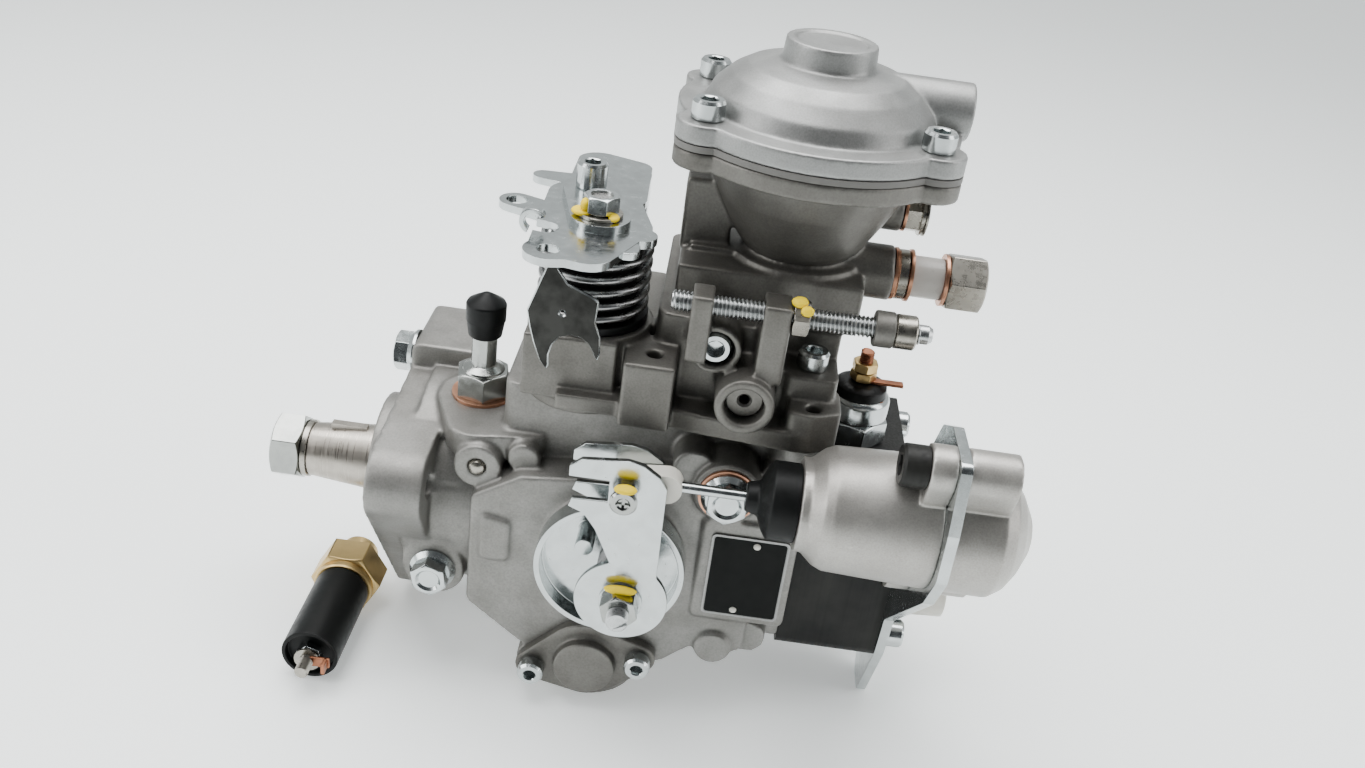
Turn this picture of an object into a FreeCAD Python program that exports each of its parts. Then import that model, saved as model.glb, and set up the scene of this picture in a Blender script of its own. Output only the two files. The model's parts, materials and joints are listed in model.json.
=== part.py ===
import FreeCAD, Part
import math
import os
import re

import Sketcher

# Distributor-type diesel injection pump.
# Frame: millimetres, origin on the drive-shaft axis at the flange's mating face,
# +X along the shaft towards the hydraulic head, +Z up, -Y towards the name plate side.

os.makedirs("parts", exist_ok=True)
doc = FreeCAD.newDocument("injection_pump")
sheet = doc.addObject("Spreadsheet::Sheet", "sizes")
readings = doc.addObject("Spreadsheet::Sheet", "readings")

# Driving dimensions: name, value, what it is.
SIZES = [
    # General clearances
    ("running_fit", 0.05, "radial clearance of a shaft in its bore"),
    ("seat_gap", 0.3, "gap between curved or moving neighbours"),
    ("thread_gap", 0.1, "radial gap round a screw in its hole"),
    ("screw_shank", 3, "radius of an M6 screw"),
    ("screw_head", 5, "head radius of an M6 socket screw"),
    ("screw_height", 6, "head of an M6 or M5 socket screw"),
    ("small_shank", 2.5, "radius of an M5 screw"),
    ("small_head", 4.6, "head radius of an M5 socket screw"),
    ("tapping_radius", 2.5, "tapped hole for an M6 bracket screw"),
    # Mounting flange
    ("pilot_radius", 25, "centring spigot"),
    ("pilot_length", 7, "centring spigot"),
    ("flange_thick", 19, "mounting flange"),
    ("ear_circle", 84, "pitch circle of the mounting holes"),
    ("ear_radius", 13, "rounding of a flange ear"),
    ("ear_turn", 35, "angle of the first ear from +Y"),
    ("ear_hole", 4.25, "radius of a mounting hole"),
    # Drive housing
    ("housing_end", 144, "rear face of the housing"),
    ("barrel_radius", 38, "round housing body"),
    ("cavity_radius", 27, "pump chamber"),
    ("cavity_start", 28, "front wall of the pump chamber"),
    ("joint_level", 57, "face between housing and governor cover"),
    ("side_near", -44, "near cheek of the housing"),
    ("side_far", 40, "far cheek of the housing"),
    ("box_half", 30, "half width of the housing's upper box"),
    ("chamber_half", 20, "half width of the governor chamber"),
    ("chamber_front", 45, "front wall of the governor chamber"),
    ("chamber_rear", 127, "rear wall of the governor chamber"),
    ("chamber_roof", 53, "roof of the governor chamber ahead of the cover"),
    ("foot_level", -60, "plane the pump stands on"),
    ("cast_round", 4, "rounding of cast corners"),
    ("seal_radius", 17, "shaft seal seat"),
    ("seal_depth", 9, "shaft seal seat"),
    # Drive shaft
    ("journal_radius", 11, "shaft journal"),
    ("cone_large", 12.5, "large end of the 1:5 cone"),
    ("cone_small", 9.9, "small end of the cone"),
    ("cone_end", -33, "small end of the cone"),
    ("thread_radius", 7, "shaft nut thread"),
    ("shaft_tip", -46, "front end of the shaft"),
    ("shaft_tail", 60, "rear end of the shaft"),
    ("nut_flats", 22, "shaft nut across flats"),
    ("nut_length", 11, "shaft nut"),
    ("washer_thick", 2.4, "spring washer under the shaft nut"),
    # Feed pump
    ("feed_ring_width", 12, "vane pump ring"),
    ("feed_plate", 3, "vane pump end plate"),
    ("feed_bore", 20, "vane pump ring bore"),
    ("feed_offset", 1.4, "eccentricity of the vane pump ring"),
    ("rotor_radius", 18.2, "vane pump rotor"),
    ("vane_thick", 2.6, "vane"),
    # Governor drive
    ("gear_module", 0.9, "governor gears"),
    ("drive_teeth", 48, "gear on the drive shaft"),
    ("weight_teeth", 32, "gear on the weight carrier"),
    ("gear_start", 46, "front face of the governor gears"),
    ("gear_width", 6, "governor gears"),
    ("spindle_radius", 3, "governor spindle"),
    ("cage_radius", 12.5, "weight carrier"),
    ("weight_length", 12, "flyweight"),
    ("sleeve_radius", 5, "governor sleeve"),
    # Timing device and roller ring
    ("timing_cover", 4, "timing cylinder cover"),
    ("timing_x", 78, "axis of the timing cylinder along the shaft"),
    ("timing_z", -41, "height of the timing cylinder"),
    ("timing_bore", 12, "timing piston radius"),
    ("timing_wall", 7, "wall round the timing cylinder"),
    ("timing_half", 25, "half length of the timing piston"),
    ("ring_width", 12, "roller ring"),
    ("ring_gap", 0.6, "gap round the roller ring"),
    ("ring_bore", 12, "roller ring bore"),
    ("roller_radius", 4, "roller"),
    ("roller_place", 18.5, "distance of a roller from the shaft axis"),
    ("pin_radius", 4, "timing pin"),
    # Cam plate and plunger
    ("cam_radius", 22, "cam plate"),
    ("cam_thick", 5.7, "cam plate without its lobes"),
    ("cam_lift", 2, "height of a cam lobe"),
    ("plunger_radius", 5, "distributor plunger"),
    ("spill_radius", 9, "control sleeve"),
    ("spill_width", 11, "control sleeve"),
    ("fulcrum_z", 26, "governor lever fulcrum height"),
    ("ball_radius", 2.5, "ball end of the governor lever"),
    ("lever_thick", 3.4, "governor lever"),
    # Hydraulic head
    ("head_end", 179.5, "rear face of the hydraulic head"),
    ("head_half", 35, "half width of the head"),
    ("head_top", 38, "top of the head"),
    ("head_low", -33, "bottom of the head"),
    ("spigot_radius", 16, "distributor barrel in the chamber"),
    ("spigot_start", 115, "front end of the distributor barrel"),
    ("outlet_circle", 44, "pitch circle of the delivery valves"),
    ("holder_flats", 14, "delivery valve holder across flats"),
    ("holder_length", 22, "delivery valve holder beyond the head"),
    ("cap_radius", 8.2, "shipping cap on a delivery valve"),
    # Governor cover
    ("cover_plate", 7, "cover flange"),
    ("cover_top", 92, "top of the cover's main block"),
    ("throttle_x", 66.5, "throttle shaft"),
    ("throttle_y", -24, "throttle shaft"),
    ("throttle_radius", 5, "throttle shaft"),
    ("throttle_boss", 84, "top of the throttle shaft boss"),
    ("stop_y", -46, "speed screw"),
    ("stop_z", 102.5, "speed screw"),
    ("stop_radius", 3.3, "speed screw"),
    ("stop_start", 92, "front end of the speed screw"),
    ("overflow_y", -4, "overflow union axis"),
    ("overflow_z", 103, "overflow union axis"),
    ("overflow_face", 161, "face of the overflow boss"),
    ("vent_z", 123, "vent fitting axis"),
    # Boost compensator
    ("boost_x", 129, "compensator axis"),
    ("boost_y", -2, "compensator axis"),
    ("boost_radius", 44, "compensator flange"),
    ("boost_seam", 144, "lower face of the diaphragm"),
    ("diaphragm_thick", 2, "diaphragm"),
    ("boost_flange", 6, "each compensator flange"),
    ("boost_ear_x", 34, "compensator screw spacing, half"),
    ("boost_ear_y", 23, "compensator screw spacing, half"),
    ("boost_ear", 9, "compensator ear"),
    ("dome_top", 174, "top of the compensator"),
    ("bowl_low", 106, "bottom of the compensator bowl"),
    ("pin_shank", 4, "boost pin"),
    ("air_y", 2, "boost air port"),
    ("air_z", 157, "boost air port"),
    ("air_end", 175, "boost air port"),
    ("air_bore", 4, "boost air port"),
    # Throttle lever
    ("lever_level", 112, "underside of the throttle lever"),
    ("plate_thick", 2.5, "throttle lever sheet"),
    ("fork_y", -55, "front face of the hanging fork plate"),
    ("fork_thick", 2, "fork plate sheet"),
    ("coil_radius", 16.6, "throttle return spring"),
    ("coil_wire", 1.2, "throttle return spring"),
    # Cold-start lever
    ("cold_x", 88.5, "cold-start lever pivot"),
    ("cold_z", 5.5, "cold-start lever pivot"),
    ("cold_front", -69, "front face of the lever"),
    ("cold_gap", 7, "gap between the lever's two plates"),
    ("cold_sheet", 2, "lever plate"),
    ("cold_pin_x", 86, "pin of the rod end"),
    ("cup_x", 83, "spring cup"),
    ("cup_radius", 25, "spring cup"),
    # Wax actuator
    ("wax_y", -63.5, "actuator axis"),
    ("wax_z", 48.5, "actuator axis"),
    ("wax_radius", 20.5, "actuator cylinder"),
    ("wax_start", 146, "front of the actuator cylinder"),
    ("rod_radius", 1.7, "actuator rod"),
    ("bracket_thick", 3.5, "actuator bracket"),
    ("wax_end", 209, "rear of the actuator cap"),
    ("wax_ear_y", -74, "actuator screw"),
    ("wax_ear_z", 74, "actuator screw"),
    # Inlet
    ("inlet_x", 30, "fuel inlet"),
    ("inlet_y", -9, "fuel inlet"),
    ("inlet_rise", 1, "inlet boss above the round body"),
    # Side plug
    ("plug_x", 118, "side plug"),
    ("plug_z", 36, "side plug"),
    # Stop solenoid
    ("shutoff_x", 160, "stop solenoid"),
    ("solenoid_radius", 11, "stop solenoid"),
    # Loose cold-start solenoid, lying beside the flange
    ("loose_x", -17.5, "hex of the loose solenoid"),
    ("loose_y", -4, "rear end of the loose solenoid"),
    ("loose_z", -48.45, "axis of the loose solenoid"),
    ("loose_flats", 23, "brass hex across flats"),
    ("loose_hex", 15, "brass hex"),
    ("loose_radius", 10, "solenoid barrel"),
    ("loose_barrel", 37, "solenoid barrel"),
]
NAMES = set()
for row, (name, value, meaning) in enumerate(SIZES, start=1):
    sheet.set("A%d" % row, name)
    sheet.set("B%d" % row, str(value))
    sheet.set("C%d" % row, meaning)
    sheet.setAlias("B%d" % row, name)
    NAMES.add(name)
doc.recompute()

V = FreeCAD.Vector
TURN = {
    "Z": FreeCAD.Rotation(),
    "-Z": FreeCAD.Rotation(V(1, 0, 0), 180),
    "X": FreeCAD.Rotation(V(0, 1, 0), 90),
    "-X": FreeCAD.Rotation(V(0, 1, 0), -90),
    "Y": FreeCAD.Rotation(V(1, 0, 0), -90),
    "-Y": FreeCAD.Rotation(V(1, 0, 0), 90),
}
NODES = []


def number(text):
    """The value of an expression written with the sheet's names."""
    readings.set("A1", "=" + linked(text))
    readings.recompute()
    return float(readings.get("A1"))


def linked(text):
    """The same expression, with each name pointing at the sheet."""
    return re.sub(r"[a-z_]+", lambda word: "sizes." + word.group()
                  if word.group() in NAMES else word.group(), str(text))


def bind(thing, where, text):
    thing.setExpression(where, linked(text))


def place(thing, at, along="Z", turn=None):
    """Puts a shape at a point, with its own +Z along a named axis."""
    rotation = TURN[along] if turn is None else turn
    thing.Placement = FreeCAD.Placement(V(*[number(text) for text in at]), rotation)
    for letter, text in zip("xyz", at):
        bind(thing, "Placement.Base." + letter, text)
    return thing


def rod(name, radius, length, at, along="Z", turn=None):
    shape = doc.addObject("Part::Cylinder", name)
    bind(shape, "Radius", radius)
    bind(shape, "Height", length)
    return place(shape, at, along, turn)


def cone(name, start, end, length, at, along="Z", turn=None):
    shape = doc.addObject("Part::Cone", name)
    bind(shape, "Radius1", start)
    bind(shape, "Radius2", end)
    bind(shape, "Height", length)
    return place(shape, at, along, turn)


def block(name, low, high):
    shape = doc.addObject("Part::Box", name)
    for side, first, last in zip(("Length", "Width", "Height"), low, high):
        bind(shape, side, "(%s) - (%s)" % (last, first))
    return place(shape, low)


def hexagon(name, flats, length, at, along="Z", turn=None):
    shape = doc.addObject("Part::Prism", name)
    shape.Polygon = 6
    bind(shape, "Circumradius", "(%s) / sqrt(3)" % flats)
    bind(shape, "Height", length)
    return place(shape, at, along, turn)


def ball(name, radius, at):
    shape = doc.addObject("Part::Sphere", name)
    bind(shape, "Radius", radius)
    return place(shape, at)


def coil(name, radius, wire, pitch, turns, at, along="Z"):
    """A spring as rings of round wire, tied by one upright run of wire."""
    way = TURN[along].multVec(V(0, 0, 1))
    out = TURN[along].multVec(V(1, 0, 0))
    parts = []
    for index in range(turns):
        ring = doc.addObject("Part::Torus", "%s_ring_%d" % (name, index))
        bind(ring, "Radius1", radius)
        bind(ring, "Radius2", wire)
        centre = ["(%s) + %d * %d * (%s)" % (text, round(step), index, pitch)
                  for text, step in zip(at, way)]
        parts.append(place(ring, centre, along))
    foot = ["(%s) + %d * (%s)" % (text, round(step), radius) for text, step in zip(at, out)]
    rise = "%d * (%s)" % (turns - 1, pitch)
    parts.append(rod(name + "_run", "0.8 * (%s)" % wire, rise, foot, along))
    return join(name, parts)


def join(name, shapes):
    result = doc.addObject("Part::MultiFuse", name)
    result.Shapes = shapes
    return result


def carve(name, base, tools):
    result = doc.addObject("Part::Cut", name)
    result.Base = base
    result.Tool = tools[0] if len(tools) == 1 else join(name + "_tools", tools)
    return result


def group(name, shapes):
    result = doc.addObject("Part::Compound", name)
    result.Links = shapes
    return result


def sketch_on(body, name, plane, low, high):
    """A sketch on one of a body's own planes, set off to where its pad starts."""
    sketch = body.newObject("Sketcher::SketchObject", name)
    for feature in body.Origin.OriginFeatures:
        if feature.Role == plane + "_Plane":
            sketch.AttachmentSupport = [(feature, "")]
    sketch.MapMode = "FlatFace"
    offset = "-(%s)" % high if plane == "XZ" else low
    bind(sketch, "AttachmentOffset.Base.z", offset)
    return sketch


def pad(body, name, sketch, low, high):
    feature = body.newObject("PartDesign::Pad", name)
    feature.Profile = sketch
    bind(feature, "Length", "(%s) - (%s)" % (high, low))
    return feature


def closed_outline(sketch, points):
    """Straight lines through points, each point tied to the sheet."""
    corners = [V(number(x), number(y), 0) for x, y in points]
    count = len(points)
    for index in range(count):
        sketch.addGeometry(Part.LineSegment(corners[index], corners[(index + 1) % count]), False)
    for index in range(count):
        sketch.addConstraint(Sketcher.Constraint("Coincident", index, 2, (index + 1) % count, 1))
    for index, point in enumerate(points):
        for kind, text in zip(("DistanceX", "DistanceY"), point):
            rule = Sketcher.Constraint(kind, -1, 1, index, 1, number(text))
            number_of_rule = sketch.addConstraint(rule)
            bind(sketch, "Constraints[%d]" % number_of_rule, text)


def outline_pad(name, plane, points, low, high, corner=None, skip=()):
    """A plate or block with a drawn outline, its upright edges rounded."""
    body = doc.addObject("PartDesign::Body", name)
    sketch = sketch_on(body, name + "_sketch", plane, low, high)
    closed_outline(sketch, points)
    solid = pad(body, name + "_pad", sketch, low, high)
    if corner is None:
        return body
    solid.recompute(True)
    normal = {"XY": V(0, 0, 1), "XZ": V(0, 1, 0), "YZ": V(1, 0, 0)}[plane]
    left_sharp = [sketch.getPoint(index, 1) for index in skip]
    chosen = []
    for index, edge in enumerate(solid.Shape.Edges, start=1):
        start, end = edge.Vertexes[0].Point, edge.Vertexes[-1].Point
        if (end - start).cross(normal).Length > 1e-6 or (end - start).Length < 1e-6:
            continue
        flat = {"XY": V(start.x, start.y, 0), "XZ": V(start.x, start.z, 0),
                "YZ": V(start.y, start.z, 0)}[plane]
        if all((flat - point).Length > 1e-6 for point in left_sharp):
            chosen.append("Edge%d" % index)
    rounding = body.newObject("PartDesign::Fillet", name + "_round")
    rounding.Base = (solid, chosen)
    bind(rounding, "Radius", corner)
    return body


def belt_pad(name, plane, circles, low, high):
    """A plate whose outline runs round circles like a belt, listed anticlockwise."""
    body = doc.addObject("PartDesign::Body", name)
    sketch = sketch_on(body, name + "_sketch", plane, low, high)
    rounds = [(V(number(x), number(y), 0), number(r)) for x, y, r in circles]
    count = len(rounds)
    touches = []
    for index in range(count):
        centre, radius = rounds[index]
        far_centre, far_radius = rounds[(index + 1) % count]
        step = far_centre - centre
        heading = math.atan2(step.y, step.x)
        lean = math.acos((radius - far_radius) / step.Length)
        way = V(math.cos(heading - lean), math.sin(heading - lean), 0)
        touches.append((centre + way * radius, far_centre + way * far_radius, way))
    for index in range(count):
        sketch.addGeometry(Part.LineSegment(touches[index][0], touches[index][1]), False)
    for index in range(count):
        centre, radius = rounds[index]
        before = touches[index - 1][2]
        after = touches[index][2]
        start = math.atan2(before.y, before.x)
        end = math.atan2(after.y, after.x)
        if end <= start:
            end += 2 * math.pi
        circle = Part.Circle(centre, V(0, 0, 1), radius)
        sketch.addGeometry(Part.ArcOfCircle(circle, start, end), False)
    for index in range(count):
        arc = count + index
        sketch.addConstraint(Sketcher.Constraint("Tangent", index - 1 if index else count - 1, 2, arc, 1))
        sketch.addConstraint(Sketcher.Constraint("Tangent", arc, 2, index, 1))
    for index, (x, y, r) in enumerate(circles):
        arc = count + index
        for rule, text in ((Sketcher.Constraint("DistanceX", -1, 1, arc, 3, number(x)), x),
                           (Sketcher.Constraint("DistanceY", -1, 1, arc, 3, number(y)), y),
                           (Sketcher.Constraint("Radius", arc, number(r)), r)):
            number_of_rule = sketch.addConstraint(rule)
            bind(sketch, "Constraints[%d]" % number_of_rule, text)
    pad(body, name + "_pad", sketch, low, high)
    return body


def turned(name, profile, at=("0", "0", "0"), along="Z"):
    """A solid of revolution: its profile is (radius, height) points."""
    body = doc.addObject("PartDesign::Body", name)
    sketch = sketch_on(body, name + "_sketch", "XZ", "0", "0")
    closed_outline(sketch, profile)
    spin = body.newObject("PartDesign::Revolution", name + "_turn")
    spin.Profile = sketch
    spin.ReferenceAxis = (sketch, ["V_Axis"])
    spin.Angle = 360
    return place(body, at, along)


def collar(name, outer, inner, length, at, along="Z"):
    return turned(name, [(inner, "0"), (outer, "0"), (outer, length), (inner, length)], at, along)


def polar(angle, distance):
    """Y and Z of a point on a circle round the shaft axis."""
    return ("(%s) * cos(%s)" % (distance, angle), "(%s) * sin(%s)" % (distance, angle))


def keep(label, thing):
    thing.Label = label
    NODES.append((label, thing))
    return thing


GOVERNOR_Z = "gear_module * (drive_teeth + weight_teeth) / 2"
EARS = [polar("ear_turn + %d" % (120 * index), "ear_circle / 2") for index in range(3)]


def drive_housing():
    flange = belt_pad("flange", "YZ", [(y, z, "ear_radius") for y, z in EARS], "0", "flange_thick")
    solids = [
        rod("pilot", "pilot_radius", "pilot_length + flange_thick", ("-pilot_length", "0", "0"), "X"),
        flange,
        rod("barrel", "barrel_radius", "housing_end - flange_thick / 2", ("flange_thick / 2", "0", "0"), "X"),
        outline_pad("upper_box", "XY", [
            ("chamber_front - 4", "-box_half"), ("housing_end", "-box_half"),
            ("housing_end", "box_half"), ("chamber_front - 4", "box_half")],
            "0", "joint_level", "cast_round"),
        outline_pad("near_cheek", "XZ", [
            ("cavity_start + 6", "-24"), ("timing_x - 24", "foot_level + 20"),
            ("timing_x + 26", "foot_level + 20"), ("timing_x + 36", "-31"), ("housing_end - 12", "-31"),
            ("housing_end - 12", "30"), ("timing_x + 22", "36"), ("cavity_start + 22", "30"),
            ("cavity_start + 6", "20")], "side_near", "0", "cast_round"),
        outline_pad("far_cheek", "XZ", [
            ("cavity_start + 6", "-24"), ("timing_x - 20", "-36"), ("timing_x + 24", "-36"),
            ("housing_end - 12", "-30"), ("housing_end - 12", "26"), ("cavity_start + 6", "26")],
            "0", "side_far", "cast_round"),
        outline_pad("plate_pad", "XZ", [
            ("housing_end - 32", "-16"), ("housing_end", "-16"), ("housing_end", "25"),
            ("housing_end - 32", "25")], "side_near - 1.5", "0", "2"),
        rod("timing_case", "timing_bore + timing_wall", "side_far - side_near",
            ("timing_x", "side_near", "timing_z"), "Y"),
        block("foot", ("timing_x - 10", "side_near + 6", "foot_level"),
              ("timing_x + 10", "side_far - 4", "timing_z")),
        belt_pad("inlet_boss", "XY", [
            ("inlet_x + 22", "inlet_y - 19", "5"), ("inlet_x + 22", "inlet_y + 4", "5"),
            ("inlet_x", "inlet_y", "15"), ("inlet_x + 2", "inlet_y - 18", "10")],
            "barrel_radius + inlet_rise - 9", "barrel_radius + inlet_rise"),
        rod("inlet_column", "13", "barrel_radius + inlet_rise - 4", ("inlet_x", "inlet_y", "0"), "Z"),
        rod("ball_boss", "8", "24", ("inlet_x + 5", "-16", "29"), "-Y"),
        rod("small_boss", "5.5", "18", ("inlet_x + 20", "-20", "33"), "-Y"),
        rod("wall_boss", "7", "22", ("timing_x + 28", "-20", "41"), "-Y"),
        rod("rear_boss", "8", "24", ("housing_end - 8", "-14", "38"), "-Y"),
        rod("low_boss", "6.5", "20", ("plug_x + 3.5", "side_near + 18", "-29"), "-Y"),
        rod("low_boss_rear", "6.5", "16", ("plug_x + 15", "side_near + 18", "-25"), "-Y"),
        rod("plug_boss", "11", "26", ("plug_x", "side_near + 24", "plug_z"), "-Y"),
        rod("cup_base", "cup_radius - 1", "20", ("cup_x", "side_near + 17", "cold_z"), "-Y"),
        rod("bolt_boss", "11", "barrel_radius", ("flange_thick + 2", "0", "-17"), "-Y"),
        outline_pad("top_ear", "XZ", [("0", "8"), ("24", "8"), ("24", "44"), ("0", "44")],
                    "10", "44", "3"),
        rod("cover_screw_boss", "8", "joint_level - head_top - 2", COVER_SCREWS[0] + ("head_top + 2",), "Z"),
        outline_pad("rib_pad", "XZ", [("38", "-4"), ("48", "-4"), ("48", "12"), ("38", "14")],
                    "side_near - 1.5", "-30", "2"),
        rod("front_rib", "9", "side_far + 34", ("cavity_start + 6", "-34", "-10"), "Y"),
    ]
    solids += [rod("head_boss_%d" % index, "6.5", "18", ("housing_end - 18", y, z), "X")
               for index, (y, z) in enumerate(HEAD_SCREWS)]
    for side, start in (("near", "side_near"), ("far", "side_far - 16")):
        solids += [rod("timing_boss_%s_%d" % (side, index), "6.3", "16", (x, start, z), "Y")
                   for index, (x, z) in enumerate(TIMING_SCREWS)]
    holes = [rod("ear_hole_%d" % index, "ear_hole", "flange_thick + 12", ("-2", y, z), "X")
             for index, (y, z) in enumerate(EARS)]
    holes += [
        rod("seal_seat", "seal_radius", "seal_depth + 1", ("-pilot_length - 1", "0", "0"), "X"),
        rod("journal_bore", "journal_radius + running_fit", "pilot_length + cavity_start + 2",
            ("-pilot_length - 1", "0", "0"), "X"),
        rod("chamber", "cavity_radius", "housing_end - cavity_start + 2", ("cavity_start", "0", "0"), "X"),
        block("gear_chamber", ("chamber_front", "-chamber_half", "10"),
              ("throttle_x - 8", "chamber_half", "chamber_roof")),
        block("governor_chamber", ("throttle_x - 9", "-chamber_half", "10"),
              ("chamber_rear", "chamber_half", "joint_level + 1")),
        rod("spindle_hole", "spindle_radius", "4", ("chamber_front - 3", "0", GOVERNOR_Z), "X"),
        rod("timing_hole", "timing_bore + running_fit", "side_far - side_near + 4",
            ("timing_x", "side_near - 2", "timing_z"), "Y"),
        block("pin_slot", ("timing_x - pin_radius - 1", "-8", "timing_z"),
              ("timing_x + pin_radius + 1", "16", "-cavity_radius + 5")),
        rod("inlet_hole", "6", "12", ("inlet_x", "inlet_y", "barrel_radius + inlet_rise - 11"), "Z"),
        rod("plug_hole", "7", "13", ("plug_x", "side_near + 10", "plug_z"), "-Y"),
        rod("cold_bore", "5 + running_fit", "24", ("cold_x", "side_near + 16", "cold_z"), "-Y"),
        rod("ball_hole", "3", "10", ("inlet_x + 5", "-31", "29"), "-Y"),
        rod("bolt_hole", "4 + thread_gap", "21", ("flange_thick + 2", "20 - barrel_radius", "-17"), "-Y"),
        rod("top_bolt_hole", "4 + thread_gap", "18", ("-1",) + TOP_BOLT, "X"),
    ]
    for side, start, way in (("near", "side_near - 1", "Y"), ("far", "side_far + 1", "-Y")):
        for index, (x, z) in enumerate(TIMING_SCREWS):
            holes.append(rod("timing_screw_hole_%s_%d" % (side, index), "small_shank + thread_gap", "13",
                             (x, start, z), way))
    for index, (y, z) in enumerate(HEAD_SCREWS):
        holes.append(rod("head_screw_hole_%d" % index, "screw_shank + thread_gap", "12",
                         ("housing_end - 11", y, z), "X"))
    for index, (x, y) in enumerate(COVER_SCREWS):
        holes.append(rod("cover_thread_%d" % index, "screw_shank + thread_gap", "12",
                         (x, y, "joint_level - 11"), "Z"))
    keep("drive_housing", carve("drive_housing", join("housing_cast", solids), holes))


TIMING_SCREWS = [("timing_x - 18.5", "timing_z - 5"), ("timing_x + 18.5", "timing_z + 4")]
HEAD_SCREWS = [("head_half - 5.5", "head_top - 10"), ("5.5 - head_half", "head_top - 10"),
               ("head_half - 5.5", "head_low + 9"), ("5.5 - head_half", "head_low + 9")]
COVER_SCREWS = [("boost_x + 9.5", "-30"), ("boost_x + 8", "26"), ("throttle_x - 4.5", "25")]
TOP_BOLT = ("20.5", "35")
BOOST_SCREWS = [("boost_x + %d * boost_ear_x" % a, "boost_y + %d * boost_ear_y" % b)
                for a, b in ((1, 1), (-1, 1), (-1, -1), (1, -1))]


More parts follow.
